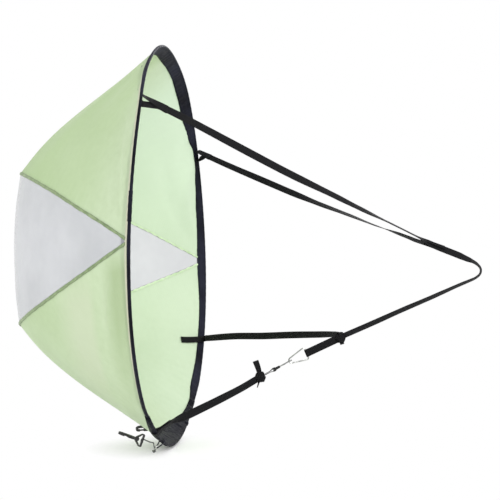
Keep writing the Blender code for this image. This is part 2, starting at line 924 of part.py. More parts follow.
def make_eye(name, size, crown, spot, paint):
    """The D-shaped eye for a strap or tether, with a bore for the stem."""
    front = -running_gap
    back = front - size.eye_depth
    outline = [
        (front, -size.neck / 2),
        (front, size.neck / 2),
        (back + size.eye_wall * 2, size.eye_width / 2),
    ]
    outline += arc(back + size.eye_wall, size.eye_width / 2 - size.eye_wall, size.eye_wall, 90, 180, 3)
    outline += arc(back + size.eye_wall, size.eye_wall - size.eye_width / 2, size.eye_wall, 180, 270, 3)
    outline.append((back + size.eye_wall * 2, -size.eye_width / 2))
    eye = new_piece(name + "_eye", plate_mesh(name + "_eye", outline, size.eye_thickness), paint, spot)
    inside = size.eye_width / 2 - size.eye_wall
    opening = [
        (front - crown, -size.neck / 2),
        (front - crown, size.neck / 2),
        (back + size.eye_wall * 2, inside),
        (back + size.eye_wall, inside),
        (back + size.eye_wall, -inside),
        (back + size.eye_wall * 2, -inside),
    ]
    cut = plate_mesh(name + "_eye_opening", opening, 2 * size.eye_thickness)
    combine(eye, new_cutter(name + "_eye_opening", cut, spot), "DIFFERENCE")
    bore = cylinder_mesh(name + "_stem_bore", size.stem / 2 + running_gap, 2 * crown)
    combine(eye, new_cutter(name + "_stem_bore", bore, spot @ along_x(-crown)), "DIFFERENCE")
    return eye


def eye_bar(size):
    """How far behind the hook's neck the middle of the eye's bar lies."""
    return running_gap + size.eye_depth - size.eye_wall / 2


# Ring tabs: a narrow band round the rim and round the bar of a D ring

def make_ring_tab(name, degrees, towards, wrapped, paint):
    centre, along, inward, aft, pull = loop_directions(degrees, towards)
    side = pull.cross(along)
    big = (wrapped + gap + tab_thickness / 2) * loop_corner
    small = (ring_wire / 2 + gap + tab_thickness / 2) * loop_corner
    outline = arc(0.0, 0.0, big, 80, 280, 8) + arc(tab_length, 0.0, small, -80, 80, 5)
    rows = []
    for a, b in outline:
        middle = centre + pull * a + side * b
        rows.append([middle - along * (tab_width / 2), middle + along * (tab_width / 2)])
    tab = new_piece(name, grid_mesh(name, rows, closed=True), paint)
    thicken(tab, tab_thickness)
    return frame_of(centre + pull * tab_length, pull, along)


def make_ring(name, spot, paint):
    ring = wire_curve(name, ring_path(ring_bar, ring_drop), ring_wire, closed=True)
    return new_piece(name, ring, paint, spot)


bight_start_deg = 42.0
bight_step_deg = 28.5
bight_steps = 8


def bight(centre, away, normal, radius):
    """A cord's bight round a bar: it starts beside the bar, goes round behind it and leaves it."""
    straight = (away - normal * away.dot(normal)).normalized()
    side = normal.cross(straight)
    corner = radius / math.cos(math.radians(bight_step_deg / 2))
    points = []
    for k in range(bight_steps + 1):
        turn = math.radians(bight_start_deg + bight_step_deg * k)
        points.append(centre + straight * (corner * math.cos(turn)) + side * (corner * math.sin(turn)))
    points.append(points[-1] + straight * radius)
    return points


black_webbing = material("black webbing", (0.018, 0.018, 0.022), 0.75)
rim_cloth = material("blue-black satin binding", (0.035, 0.038, 0.052), 0.45)
green_cloth = material("pale green ripstop", (0.52, 0.68, 0.42), 0.55)
tape_cloth = material("green seam tape", (0.34, 0.47, 0.22), 0.6)
clear_vinyl = material("clear vinyl", (0.80, 0.80, 0.84), 0.15, alpha=0.35)
glass_fibre = material("glass fibre rod", (0.62, 0.58, 0.40), 0.35)
ferrule_metal = material("aluminium tube", (0.66, 0.67, 0.68), 0.35, 1.0)
bright_wire = material("bright zinc wire", (0.72, 0.72, 0.74), 0.22, 1.0)
black_plastic = material("black moulded plastic", (0.02, 0.02, 0.022), 0.4)
grey_cord = material("grey cord", (0.10, 0.10, 0.11), 0.5)

make_rod(glass_fibre)
make_ferrule(ferrule_metal)
sleeve = make_sleeve(rim_cloth)
make_sleeve_end(rim_cloth)
patch = make_patch(rim_cloth)
upper_panel = make_panel("upper_panel", True, green_cloth)
lower_panel = make_panel("lower_panel", False, green_cloth)
make_window(clear_vinyl)
make_seam_tape("upper_seam_tape", True, tape_cloth)
make_seam_tape("lower_seam_tape", False, tape_cloth)


# Loops on the rim and the straps that they hold

near_top = -upper_loop_deg
far_top = upper_loop_deg
for name, degrees, wrapped, pieces, towards in (
    ("upper_near_loop", near_top, sleeve_outer, (sleeve, upper_panel), merge),
    ("upper_far_loop", far_top, sleeve_outer, (sleeve, upper_panel), merge),
    ("lower_near_loop", lower_near_loop_deg, patch_outer, (sleeve, patch, lower_panel), lower_near_bend),
):
    cut_slot(pieces, name + "_slot", degrees, wrapped, webbing_width, webbing_thickness)
    make_hoop_loop(name, degrees, towards, wrapped, black_webbing)

up = Vector((0.0, 0.0, 1.0))
across = Vector((0.0, 1.0, 0.0))
lap_gap = webbing_thickness + gap

# Where along each strap its width turns over
hand_turn_shares = (0.0, 0.18, 0.28, 0.42, 1.0)
far_turn_shares = (0.0, 0.15, 0.5, 1.0)
near_turn_shares = (0.0, 0.4, 0.9, 1.0)
hand_run = (hand_top - merge).normalized()
for name, degrees in (("upper_near_strap", near_top), ("upper_far_strap", far_top)):
    first, second, along = strap_start(degrees, merge)
    along = along if along.z > 0 else -along
    beside = Vector((0.0, lap_gap if degrees > 0 else -lap_gap, 0.0))
    lap_start = merge + beside
    lap_bend = merge + 3 * beside - hand_run * (webbing_width / 2)
    path = [first] + smooth_path([second, lap_bend], webbing_width)
    path += smooth_path([lap_start, lap_start + hand_run * rein_lap], rein_lap / 3)
    lap_share = rein_lap / (lap_start - first).length
    turned = 1 - 2 * lap_share
    stops = [(0, along), (2 * lap_share, along), (turned, up), (1, up)]
    if degrees < 0:
        stops.insert(2, (turned - 2 * lap_share, across))
    make_strap(name, path, stops, black_webbing)

hand_start = merge + hand_run * (webbing_width / 2)
hand_path = smooth_path([hand_start, hand_top], webbing_width)[:-1]
hand_path += smooth_path([hand_top, hand_tip, hand_bottom], webbing_width / 3)[:-1]
rein_run = (knot_1_place - hand_bottom).normalized()
clip_run = (clip_top - knot_1_place).normalized()
knot_1_spot = frame_of(knot_1_place, clip_run, up)
rein_end = knot_1_place - rein_run * knot_seat(knot_1_spot, -rein_run, up)
hand_path += smooth_path([hand_bottom, rein_end], webbing_width)
stops = list(zip(hand_turn_shares, (up, up, across, across, up + rein_run * rein_run.z)))
make_strap("hand_rein", hand_path, stops, black_webbing)

make_knot("knot_1", knot_1_spot, [(-80, tail_length, webbing_width / 2)], black_webbing)

# The strap from the lower part of the far rim, its end stitched down inside the bowl
strap_lift = panel_thickness / 2 + flap_clearance + webbing_thickness / 2 + gap
flap_top = flap_lift + sleeve_thickness / 2 + webbing_thickness / 2 + flap_clearance
centre, along, inward, aft = rim_frame(lower_far_strap_deg)
over_rim = centre + aft * (sleeve_outer + webbing_thickness / 2 + 2 * flap_clearance)
far_path = [
    cloth_place(lower_far_strap_deg, stitched_tail, strap_lift),
    cloth_place(lower_far_strap_deg, (stitched_tail + sleeve_flap) / 2, strap_lift + gap),
    cloth_place(lower_far_strap_deg, sleeve_flap, flap_top),
    cloth_place(lower_far_strap_deg, sleeve_flap / 2, flap_top),
]
arrive = (knot_1_place - far_strap_arch).normalized()
far_end = knot_1_place - arrive * knot_seat(knot_1_spot, -arrive, up)
far_out = smooth_path([over_rim, far_strap_arch, far_end], webbing_width)
along = along if along.z > 0 else -along
stops = list(zip(far_turn_shares, (along, along, up, up)))
make_strap("lower_far_strap", far_path + far_out, stops, black_webbing)

# The pear clip on its doubled strap
clip_axis = (clip_foot - clip_top).normalized()
clip_spot = frame_of(clip_top, clip_axis, up)
make_clip(clip_spot, bright_wire)
strap_spot = frame_of(clip_top, -clip_run, clip_spot.to_3x3().col[1].cross(-clip_run))
legs_end = (knot_1_place - clip_top).length - knot_seat(knot_1_spot, clip_run, up)
make_bight(
    "clip_strap", strap_spot, clip_wire / 2, 2 * webbing_width / 5, legs_end, lap_gap / 2 + gap, black_webbing
)

# The small swivel snap, hooked round the clip's narrow bow
snap = SnapSizes(small_snap_share, small_eye_share, small_thickness_share)
snap_run = (clip_foot - knot_2_place).normalized()
snap_spot = frame_of(clip_foot - snap_run * snap.bow_x, snap_run, across)
make_hook("small_snap", snap, snap_spot, 0.0, bright_wire, bright_wire, black_plastic)

knot_run = (lower_near_bend - knot_2_place).normalized()
eye_middle = snap_spot @ Vector((-eye_bar(snap), 0.0, 0.0))
knot_2_spot = frame_of(knot_2_place, (eye_middle - knot_2_place).normalized(), up)
make_knot(
    "knot_2",
    knot_2_spot,
    [(100, tail_length, webbing_width / 2), (-100, spike_length, spike_width)],
    black_webbing,
)
eye_hold = math.hypot(snap.eye_wall, snap.eye_thickness) / 2
bight_spot = frame_of(eye_middle, knot_2_place - eye_middle, (knot_2_place - eye_middle).cross(across))
make_bight(
    "knot_2_bight",
    bight_spot,
    eye_hold,
    2 * eye_hold,
    (knot_2_place - eye_middle).length - knot_seat(knot_2_spot, eye_middle - knot_2_place, up),
    lap_gap / 2 + gap,
    black_webbing,
)

first, second, along = strap_start(lower_near_loop_deg, lower_near_bend)
start = knot_2_place + knot_run * knot_seat(knot_2_spot, knot_run, up)
near_path = smooth_path([start, lower_near_bend, second], webbing_width) + [first]
along = along if along.z > 0 else -along
stops = list(zip(near_turn_shares, (up, up, along, along)))
make_strap("lower_near_strap", near_path, stops, black_webbing)

# Deck tethers: a tab and ring at the rim's foot, a cord, and a swivel snap hook
deck = SnapSizes(1.0, 1.0, 1.0)
for name, degrees, eye_place, tip_place, upright, swivel_deg in (
    ("near", -tab_place_deg, rein_spots["near_eye"], rein_spots["near_tip"], up, near_swivel_deg),
    ("far", tab_place_deg, rein_spots["far_eye"], rein_spots["far_tip"], up, far_swivel_deg),
):
    cut_slot((sleeve, patch, lower_panel), name + "_tab_slot", degrees, patch_outer, tab_width, tab_thickness)
    tab_towards = 2 * hoop_line(degrees) - Vector((half_height * tab_lean_share, 0.0, 0.0))
    tab_frame = make_ring_tab(name + "_ring_tab", degrees, tab_towards, patch_outer, rim_cloth)
    make_ring(name + "_tether_ring", tab_frame, bright_wire)
    hook_run = (tip_place - eye_place).normalized()
    hook_spot = frame_of(eye_place + hook_run * eye_bar(deck), hook_run, upright)
    make_hook(
        name + "_deck_hook", deck, hook_spot, swivel_deg, black_plastic, black_plastic, black_plastic
    )
    ring_out = tab_frame @ Vector((ring_drop, 0.0, 0.0))
    tether_run = (eye_place - ring_out).normalized()
    ring_normal = tab_frame.to_3x3().col[1]
    first_bight = bight(ring_out, tether_run, ring_normal, ring_wire / 2 + gap + tether_diameter / 2)
    hold = math.hypot(deck.eye_wall, deck.eye_thickness) / 2 + gap + tether_diameter / 2
    last_bight = bight(eye_place, -tether_run, hook_spot.to_3x3().col[1], hold)
    route = first_bight[:-2] + smooth_path(
        [first_bight[-2], first_bight[-1], last_bight[-1], last_bight[-2]], 3 * tether_diameter
    )
    route += last_bight[-3::-1]
    new_piece(name + "_tether", wire_curve(name + "_tether", route, tether_diameter), grey_cord)
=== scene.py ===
import math

import bmesh
import bpy
from mathutils import Matrix, Vector, noise


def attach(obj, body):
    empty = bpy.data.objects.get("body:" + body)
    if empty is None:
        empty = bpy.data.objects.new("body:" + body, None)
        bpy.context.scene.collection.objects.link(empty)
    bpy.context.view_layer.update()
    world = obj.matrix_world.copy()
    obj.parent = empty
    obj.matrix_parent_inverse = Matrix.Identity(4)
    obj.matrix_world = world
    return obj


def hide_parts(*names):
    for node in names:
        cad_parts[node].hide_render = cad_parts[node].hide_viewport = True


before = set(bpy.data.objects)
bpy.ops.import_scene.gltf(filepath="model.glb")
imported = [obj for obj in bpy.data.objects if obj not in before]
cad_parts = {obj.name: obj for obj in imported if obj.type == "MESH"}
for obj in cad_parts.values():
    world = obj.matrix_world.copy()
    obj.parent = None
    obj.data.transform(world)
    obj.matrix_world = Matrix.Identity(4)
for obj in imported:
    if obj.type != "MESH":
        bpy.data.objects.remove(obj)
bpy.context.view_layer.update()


# Shader helpers. A tree is a material's nodes or a group's

def paintNamed(name):
    paint = bpy.data.materials.new(name)
    paint.use_nodes = True
    tree = paint.node_tree
    return paint, tree, tree.nodes["Principled BSDF"]


def feed(tree, socket, value):
    if hasattr(value, "is_linked"):
        tree.links.new(value, socket)
    else:
        socket.default_value = value


def setAll(tree, node, settings):
    for label, value in settings.items():
        feed(tree, node.inputs[label], value)


def mixShaders(tree, factor, first, second, out):
    mix = tree.nodes.new("ShaderNodeMixShader")
    feed(tree, mix.inputs[0], factor)
    tree.links.new(first.outputs[0], mix.inputs[1])
    tree.links.new(second.outputs[0], mix.inputs[2])
    tree.links.new(mix.outputs[0], out.inputs[0])


def calc(tree, operation, *values):
    node = tree.nodes.new("ShaderNodeMath")
    node.operation = operation
    for socket, value in zip(node.inputs, values):
        feed(tree, socket, value)
    return node.outputs[0]


def product(tree, first, *others):
    for other in others:
        first = calc(tree, "MULTIPLY", first, other)
    return first


def ramp(tree, value, low, high, start=0.0, end=1.0):
    node = tree.nodes.new("ShaderNodeMapRange")
    node.clamp = True
    for socket, number in zip(node.inputs[:5], (value, low, high, start, end)):
        feed(tree, socket, number)
    return node.outputs[0]


def blendColours(tree, factor, first, second):
    node = tree.nodes.new("ShaderNodeMix")
    node.data_type = "RGBA"
    feed(tree, node.inputs[0], factor)
    feed(tree, node.inputs[6], first)
    feed(tree, node.inputs[7], second)
    return node.outputs[2]


def raised(tree, height, distance, strength=1.0, under=None):
    node = tree.nodes.new("ShaderNodeBump")
    node.inputs["Strength"].default_value = strength
    node.inputs["Distance"].default_value = distance
    feed(tree, node.inputs["Height"], height)
    if under is not None:
        tree.links.new(under, node.inputs["Normal"])
    return node.outputs[0]


def uvParts(tree):
    # Metres along a piece, and metres across it or shares of a turn round a cord
    uv = tree.nodes.new("ShaderNodeUVMap")
    parts = tree.nodes.new("ShaderNodeSeparateXYZ")
    tree.links.new(uv.outputs[0], parts.inputs[0])
    return parts.outputs[0], parts.outputs[1]


def objectParts(tree):
    place = tree.nodes.new("ShaderNodeTexCoord")
    parts = tree.nodes.new("ShaderNodeSeparateXYZ")
    tree.links.new(place.outputs["Object"], parts.inputs[0])
    return parts.outputs[0], parts.outputs[1], parts.outputs[2]


def colour(levels):
    # An sRGB colour of 0 to 255 as linear light
    parts = [level / 255 for level in levels]
    return tuple(p / 12.92 if p <= 0.04045 else ((p + 0.055) / 1.055) ** 2.4 for p in parts) + (1.0,)


# Effects that several materials share, each a node group built once

def newGroup(name, inputs, outputs):
    group = bpy.data.node_groups.new(name, "ShaderNodeTree")
    for label, start in inputs.items():
        kind = "NodeSocketVector" if isinstance(start, tuple) else "NodeSocketFloat"
        group.interface.new_socket(name=label, in_out="INPUT", socket_type=kind).default_value = start
    for label in outputs:
        group.interface.new_socket(name=label, in_out="OUTPUT", socket_type="NodeSocketFloat")
    return group, group.nodes.new("NodeGroupInput").outputs, group.nodes.new("NodeGroupOutput").inputs


def placed(tree, group, result, **values):
    node = tree.nodes.new("ShaderNodeGroup")
    node.node_tree = group
    for label, value in values.items():
        feed(tree, node.inputs[label.capitalize()], value)
    return node.outputs[result]


def makeMottling():
    # Soft uneven tone: haze, dust, dull spots, or gathers and creases under a bump
    group, given, put = newGroup("mottling", {"Scale": 10.0, "Detail": 3.0, "Stretch": (1.0, 1.0, 1.0)}, ["Tone"])
    place = group.nodes.new("ShaderNodeTexCoord")
    stretched = group.nodes.new("ShaderNodeMapping")
    spots = group.nodes.new("ShaderNodeTexNoise")
    group.links.new(place.outputs["Object"], stretched.inputs["Vector"])
    group.links.new(given["Stretch"], stretched.inputs["Scale"])
    setAll(group, spots, {"Vector": stretched.outputs[0], "Scale": given["Scale"], "Detail": given["Detail"]})
    group.links.new(spots.outputs[0], put["Tone"])
    return group


def makeStitching():
    # A row of stitches at a place across the cloth, each for a share of the pitch
    group, given, put = newGroup(
        "stitch row",
        {"Along": 0.0, "Across": 0.0, "Place": 0.003, "Thread": 0.0003, "Fade": 0.0006, "Pitch": 0.004, "Share": 0.6},
        ["Stitch"],
    )
    aside = calc(group, "ABSOLUTE", calc(group, "SUBTRACT", given["Across"], given["Place"]))
    row = ramp(group, aside, given["Thread"], given["Fade"], 1.0, 0.0)
    turn = calc(group, "FRACT", calc(group, "DIVIDE", given["Along"], given["Pitch"]))
    dash = ramp(group, turn, given["Share"], 0.7, 1.0, 0.0)
    group.links.new(product(group, row, dash), put["Stitch"])
    return group


def makeThreads():
    # Woven threads: ribs one way, and their crossing with the other way
    group, given, put = newGroup("woven threads", {"Along": 0.0, "Across": 0.0, "Fineness": 1.0}, ["Ribs", "Weave"])
    ribs = calc(group, "SINE", product(group, given["Along"], given["Fineness"]))
    others = calc(group, "SINE", product(group, given["Across"], given["Fineness"]))
    group.links.new(ribs, put["Ribs"])
    group.links.new(product(group, ribs, others), put["Weave"])
    return group


mottling, stitching, threads = makeMottling(), makeStitching(), makeThreads()


def mottle(tree, scale, detail, stretch=(1.0, 1.0, 1.0)):
    return placed(tree, mottling, "Tone", scale=scale, detail=detail, stretch=stretch)


# Materials, each with its colours of 0 to 255 and its depths in metres

ripstop = {
    "pale": (200, 216, 184),
    "deep": (183, 201, 164),
    # Painted shade for the cloth deep in the bowl and on the upper near half
    "paintedShade": (166, 192, 136),
    # Painted shade where the lower near cloth turns under at the rim
    "rimShade": (146, 168, 118),
    # Painted light, greyer and paler, on the lower near cloth behind the streak
    "greyLight": (198, 207, 180),
    "washed": (206, 224, 201),
    "gridSize": 0.005,
    "gridTone": 0.22,
    "gridLine": 0.09,
    "gridDepth": 0.0001,
    "fineness": 9000.0,
    "broad": {"scale": 3.5, "detail": 2.0},
    "fine": {"scale": 60.0, "detail": 4.0},
    "crumple": {"scale": 24.0, "detail": 5.0},
    "crumpleDepth": 0.0016,
    "lightThrough": 0.16,
    "plain": {"Roughness": 0.5, "Sheen Weight": 0.12, "Sheen Roughness": 0.4, "Specular IOR Level": 0.3},
}


def ripstopPaint():
    # Thin ripstop cloth: a fine square grid, soft mottling, painted light and shade by place, and light let through
    paint, tree, shader = paintNamed("pale green ripstop")
    u, v = uvParts(tree)
    lines = []
    for part in (u, v):
        wave = calc(tree, "PINGPONG", calc(tree, "DIVIDE", part, ripstop["gridSize"]), 0.5)
        lines.append(ramp(tree, wave, 0.0, ripstop["gridLine"], 1.0, 0.0))
    grid = calc(tree, "MAXIMUM", *lines)
    weave = placed(tree, threads, "Weave", along=u, across=v, fineness=ripstop["fineness"])
    broad, fine = mottle(tree, **ripstop["broad"]), mottle(tree, **ripstop["fine"])
    shade = calc(tree, "ADD", product(tree, broad, 0.75), product(tree, fine, 0.25))
    deep = colour(ripstop["deep"])
    body = blendColours(tree, ramp(tree, shade, 0.35, 0.65), deep, colour(ripstop["pale"]))

    # Painted light and shade by place: x from deep in the bowl to the rim, y from near to far, z up
    x, y, z = objectParts(tree)
    fan = calc(tree, "SUBTRACT", z, product(tree, x, 2.33))
    lightAndShade = [
        # Painted shade, deeper away from the hoop
        ("paintedShade", 1.0, [(x, -0.34, -0.04, 1.0, 0.0), (z, 0.35, 0.95, 0.4, 0.9)]),
        # Painted shade: a darker streak where the lower near cloth turns under at the rim
        (
            "rimShade", 0.62,
            [
                (x, -0.085, -0.045), (x, -0.020, 0.0, 1.0, 0.5), (z, 0.515, 0.45), (z, 0.10, 0.34, 0.2, 1.0),
                (y, -0.05, -0.20),
            ],
        ),
        # Painted shade on the upper near half, but for a pale fan from the near tip
        ("paintedShade", 1.0, [(fan, 0.80, 0.96), (z, 0.76, 0.95, 0.22, 0.76), (z, 0.54, 0.62), (y, 0.03, -0.05)]),
        # Painted light: a greyer, paler patch behind the streak
        (
            "greyLight", 0.60,
            [(x, -0.235, -0.17), (x, -0.105, -0.125), (z, 0.46, 0.38), (z, 0.12, 0.22), (y, -0.05, -0.15)],
        ),
        # The far half, which more light has washed out
        ("washed", 1.0, [(y, 0.02, 0.20), (z, 0.35, 0.95, 0.40, 0.85)]),
    ]
    for tone, strength, limits in lightAndShade:
        mask = product(tree, strength, *[ramp(tree, *limit) for limit in limits])
        body = blendColours(tree, mask, body, colour(ripstop[tone]))
    thread = blendColours(tree, product(tree, grid, ripstop["gridTone"]), body, deep)

    height = calc(tree, "ADD", product(tree, grid, 0.5), product(tree, weave, 0.12))
    crumple = raised(tree, mottle(tree, **ripstop["crumple"]), ripstop["crumpleDepth"], 0.35)
    normal = raised(tree, height, ripstop["gridDepth"], 0.5, crumple)
    setAll(tree, shader, {"Base Color": thread, "Normal": normal, **ripstop["plain"]})
    through = tree.nodes.new("ShaderNodeBsdfTranslucent")
    setAll(tree, through, {"Color": thread})
    mixShaders(tree, ripstop["lightThrough"], shader, through, tree.nodes["Material Output"])
    return paint


film = {
    "shade": (176, 178, 183),
    "light": (196, 197, 202),
    "opacity": (0.60, 0.68),
    "haze": {"scale": 5.0, "detail": 3.0},
    "cockles": {"scale": 9.0, "detail": 2.0},
    "cockleDepth": 0.004,
    "plain": {"Roughness": 0.22, "IOR": 1.5},
}


def filmPaint():
    # Clear flexible film: slightly hazy and glossy, with faint cockles
    paint, tree, shader = paintNamed("clear vinyl film")
    haze = mottle(tree, **film["haze"])
    tint = blendColours(tree, ramp(tree, haze, 0.35, 0.65), colour(film["shade"]), colour(film["light"]))
    opacity = ramp(tree, haze, 0.3, 0.7, *film["opacity"])
    cockles = raised(tree, mottle(tree, **film["cockles"]), film["cockleDepth"], 0.25)
    setAll(tree, shader, {"Base Color": tint, "Alpha": opacity, "Normal": cockles, **film["plain"]})
    return paint


binding = {
    "ground": (10, 10, 17),
    "thread": (14, 14, 18),
    "fineness": 7000.0,
    "stitches": {"place": 0.0255, "thread": 0.0003, "fade": 0.0006, "pitch": 0.004, "share": 0.62},
    "stitchDepth": 0.0006,
    "threadDepth": 0.00005,
    "wear": {"scale": 9.0, "detail": 3.0},
    "folds": {"scale": 26.0, "detail": 3.0},
    "gathers": {"scale": 70.0, "detail": 3.0},
    "gatherDepth": 0.0016,
    "roughness": (0.48, 0.60),
    "rim": {"worn": (38, 39, 52), "foldDepth": 0.006},
    "patch": {"worn": (17, 18, 29), "foldDepth": 0.018},
    "plain": {
        "Specular IOR Level": 0.08, "Specular Tint": (0.84, 0.86, 1.0, 1.0), "Sheen Weight": 0.01,
        "Sheen Roughness": 0.35,
    },
}


def bindingPaint(name, kind):
    # Smooth dark binding with fine cross threads, small gathers and worn high spots
    paint, tree, shader = paintNamed(name)
    u, v = uvParts(tree)
    wear = mottle(tree, **binding["wear"])
    body = blendColours(tree, ramp(tree, wear, 0.35, 0.7), colour(binding["ground"]), colour(kind["worn"]))
    stitch = placed(tree, stitching, "Stitch", along=u, across=v, **binding["stitches"])
    body = blendColours(tree, stitch, body, colour(binding["thread"]))
    rough = ramp(tree, wear, 0.3, 0.7, *binding["roughness"])
    folds = raised(tree, mottle(tree, **binding["folds"]), kind["foldDepth"], 0.8)
    gathers = raised(tree, mottle(tree, **binding["gathers"]), binding["gatherDepth"], 0.7, folds)
    pulled = raised(tree, stitch, binding["stitchDepth"], 0.6, gathers)
    ribs = placed(tree, threads, "Ribs", along=u, fineness=binding["fineness"])
    normal = raised(tree, ribs, binding["threadDepth"], 0.4, pulled)
    setAll(tree, shader, {"Base Color": body, "Roughness": rough, "Normal": normal, **binding["plain"]})
    return paint


webbing = {
    "width": 0.020,
    "thick": 0.0016,
    "ripple": 0.00012,
    # Painted shade in the grooves between the ribs
    "grooveShade": (8, 8, 10),
    "rib": (17, 17, 20),
    "dust": (28, 28, 31),
    "zigzag": 0.0025,
    "fineness": 3600.0,
    "ribDepth": 0.00035,
    "dusting": {"scale": 35.0, "detail": 4.0},
    "dustDepth": 0.0008,
    # Where the smooth edges begin and end, as shares of the width
    "edge": (0.42, 0.46),
    "plain": {"Roughness": 0.66, "Specular IOR Level": 0.14, "Sheen Weight": 0.02, "Sheen Roughness": 0.45},
}


def webbingPaint():
    # Black woven webbing: chevron ribs with painted shade in the grooves between them, two smooth edges and a little
    # dust on the ribs
    paint, tree, shader = paintNamed("black webbing")
    u, v = uvParts(tree)
    slant = calc(tree, "ADD", u, calc(tree, "PINGPONG", v, webbing["zigzag"]))
    ribs = placed(tree, threads, "Ribs", along=slant, fineness=webbing["fineness"])
    rib = calc(tree, "MULTIPLY_ADD", ribs, 0.5, 0.5)
    edge = ramp(tree, calc(tree, "ABSOLUTE", v), *[webbing["width"] * share for share in webbing["edge"]])
    height = product(tree, rib, calc(tree, "SUBTRACT", 1.0, product(tree, edge, 0.7)))
    dust = mottle(tree, **webbing["dusting"])
    # Painted shade: the colour is darker where the ribs' bump is low
    body = blendColours(tree, rib, colour(webbing["grooveShade"]), colour(webbing["rib"]))
    dusty = blendColours(tree, ramp(tree, dust, 0.5, 0.8, 0.0, 0.3), body, colour(webbing["dust"]))
    soft = raised(tree, dust, webbing["dustDepth"], 0.25)
    normal = raised(tree, height, webbing["ribDepth"], 0.8, soft)
    setAll(tree, shader, {"Base Color": dusty, "Normal": normal, **webbing["plain"]})
    return paint


tape = {
    "stitches": {"place": 0.0032, "thread": 0.0003, "fade": 0.0007, "pitch": 0.0042, "share": 0.6},
    "stitchDepth": 0.0005,
    "pucker": {"scale": 55.0, "detail": 2.0},
    "puckerDepth": 0.0015,
    # Each tape's dark colour serves as its stitches' thread and as the painted shade in its puckers
    "outer": {"body": (142, 162, 116), "dark": (106, 128, 84)},
    "lining": {"body": (208, 228, 192), "dark": (184, 208, 164)},
    "hem": {"body": (196, 196, 172), "dark": (184, 190, 160)},
    "plain": {"Roughness": 0.55, "Sheen Weight": 0.15},
}


def tapePaint(name, kind):
    # Folded tape with a row of stitches along each edge, and painted shade in the hollows of its puckers
    paint, tree, shader = paintNamed(name)
    u, v = uvParts(tree)
    body, dark = colour(kind["body"]), colour(kind["dark"])
    stitch = placed(tree, stitching, "Stitch", along=u, across=calc(tree, "ABSOLUTE", v), **tape["stitches"])
    pucker = mottle(tree, **tape["pucker"])
    # Painted shade: the dark colour fills the puckers' hollows, where their bump is low
    base = blendColours(tree, ramp(tree, pucker, 0.3, 0.7), dark, body)
    sewn = blendColours(tree, stitch, base, dark)
    puckered = raised(tree, pucker, tape["puckerDepth"], 0.5)
    normal = raised(tree, stitch, tape["stitchDepth"], 0.7, puckered)
    setAll(tree, shader, {"Base Color": sewn, "Normal": normal, **tape["plain"]})
    return paint


wire = {
    "dull": (150, 152, 148),
    "bright": (186, 187, 184),
    "spots": {"scale": 90.0, "detail": 4.0},
    "drawn": {"scale": 900.0, "detail": 2.0, "stretch": (1.0, 0.2, 1.0)},
    "drawnDepth": 0.00005,
    "roughness": (0.16, 0.34),
    "plain": {"Metallic": 1.0},
}


def wirePaint():
    # Bright plated wire with drawn lines and dull spots
    paint, tree, shader = paintNamed("bright plated wire")
    spots = mottle(tree, **wire["spots"])
    body = blendColours(tree, ramp(tree, spots, 0.35, 0.7), colour(wire["dull"]), colour(wire["bright"]))
    rough = ramp(tree, spots, 0.3, 0.7, *wire["roughness"])
    drawn = raised(tree, mottle(tree, **wire["drawn"]), wire["drawnDepth"], 0.4)
    setAll(tree, shader, {"Base Color": body, "Roughness": rough, "Normal": drawn, **wire["plain"]})
    return paint


acetal = {
    "body": (9, 9, 10),
    "rubbed": (34, 34, 37),
    "grain": {"scale": 1400.0, "detail": 3.0},
    "grainDepth": 0.00006,
    "wear": {"scale": 120.0, "detail": 4.0},
    "roughness": (0.32, 0.46),
}


def acetalPaint():
    # Black acetal with a fine moulded grain and rubbed edges
    paint, tree, shader = paintNamed("black acetal")
    grain, wear = mottle(tree, **acetal["grain"]), mottle(tree, **acetal["wear"])
    shape = tree.nodes.new("ShaderNodeNewGeometry")
    rubbed = product(tree, ramp(tree, shape.outputs["Pointiness"], 0.52, 0.6), ramp(tree, wear, 0.4, 0.7))
    body = blendColours(tree, rubbed, colour(acetal["body"]), colour(acetal["rubbed"]))
    rough = ramp(tree, wear, 0.3, 0.7, *acetal["roughness"])
    normal = raised(tree, grain, acetal["grainDepth"], 0.5)
    setAll(tree, shader, {"Base Color": body, "Roughness": rough, "Normal": normal})
    return paint


cord = {
    "width": 0.003,
    # The low colour is painted shade in the braid's hollows, the high colour painted light on its crests
    "low": (26, 26, 28),
    "high": (66, 66, 69),
    "plaits": 5200.0,
    "twist": 12.6,
    "braidDepth": 0.0003,
    "plain": {"Roughness": 0.35, "Sheen Weight": 0.2},
}


def cordPaint():
    # Braided cord with a glossy plaited surface, painted lighter on the plaits' crests and darker in the hollows
    # between them
    paint, tree, shader = paintNamed("braided grey cord")
    u, v = uvParts(tree)
    run, turn = product(tree, u, cord["plaits"]), product(tree, v, cord["twist"])
    left, right = calc(tree, "ADD", run, turn), calc(tree, "SUBTRACT", run, turn)
    braid = placed(tree, threads, "Weave", along=left, across=right, fineness=1.0)
    # Painted light and shade that follow the braid's bump
    body = blendColours(tree, ramp(tree, braid, -0.6, 0.6), colour(cord["low"]), colour(cord["high"]))
    normal = raised(tree, braid, cord["braidDepth"], 0.7)
    setAll(tree, shader, {"Base Color": body, "Normal": normal, **cord["plain"]})
    return paint


rod = {
    "width": 0.005,
    "shade": (196, 190, 160),
    "light": (220, 214, 188),
    "streaks": {"scale": 400.0, "detail": 3.0},
    "plain": {"Roughness": 0.35},
}


def rodPaint():
    # Glass fibre with drawn streaks
    paint, tree, shader = paintNamed("glass fibre rod")
    streaks = mottle(tree, **rod["streaks"])
    body = blendColours(tree, streaks, colour(rod["shade"]), colour(rod["light"]))
    setAll(tree, shader, {"Base Color": body, **rod["plain"]})
    return paint


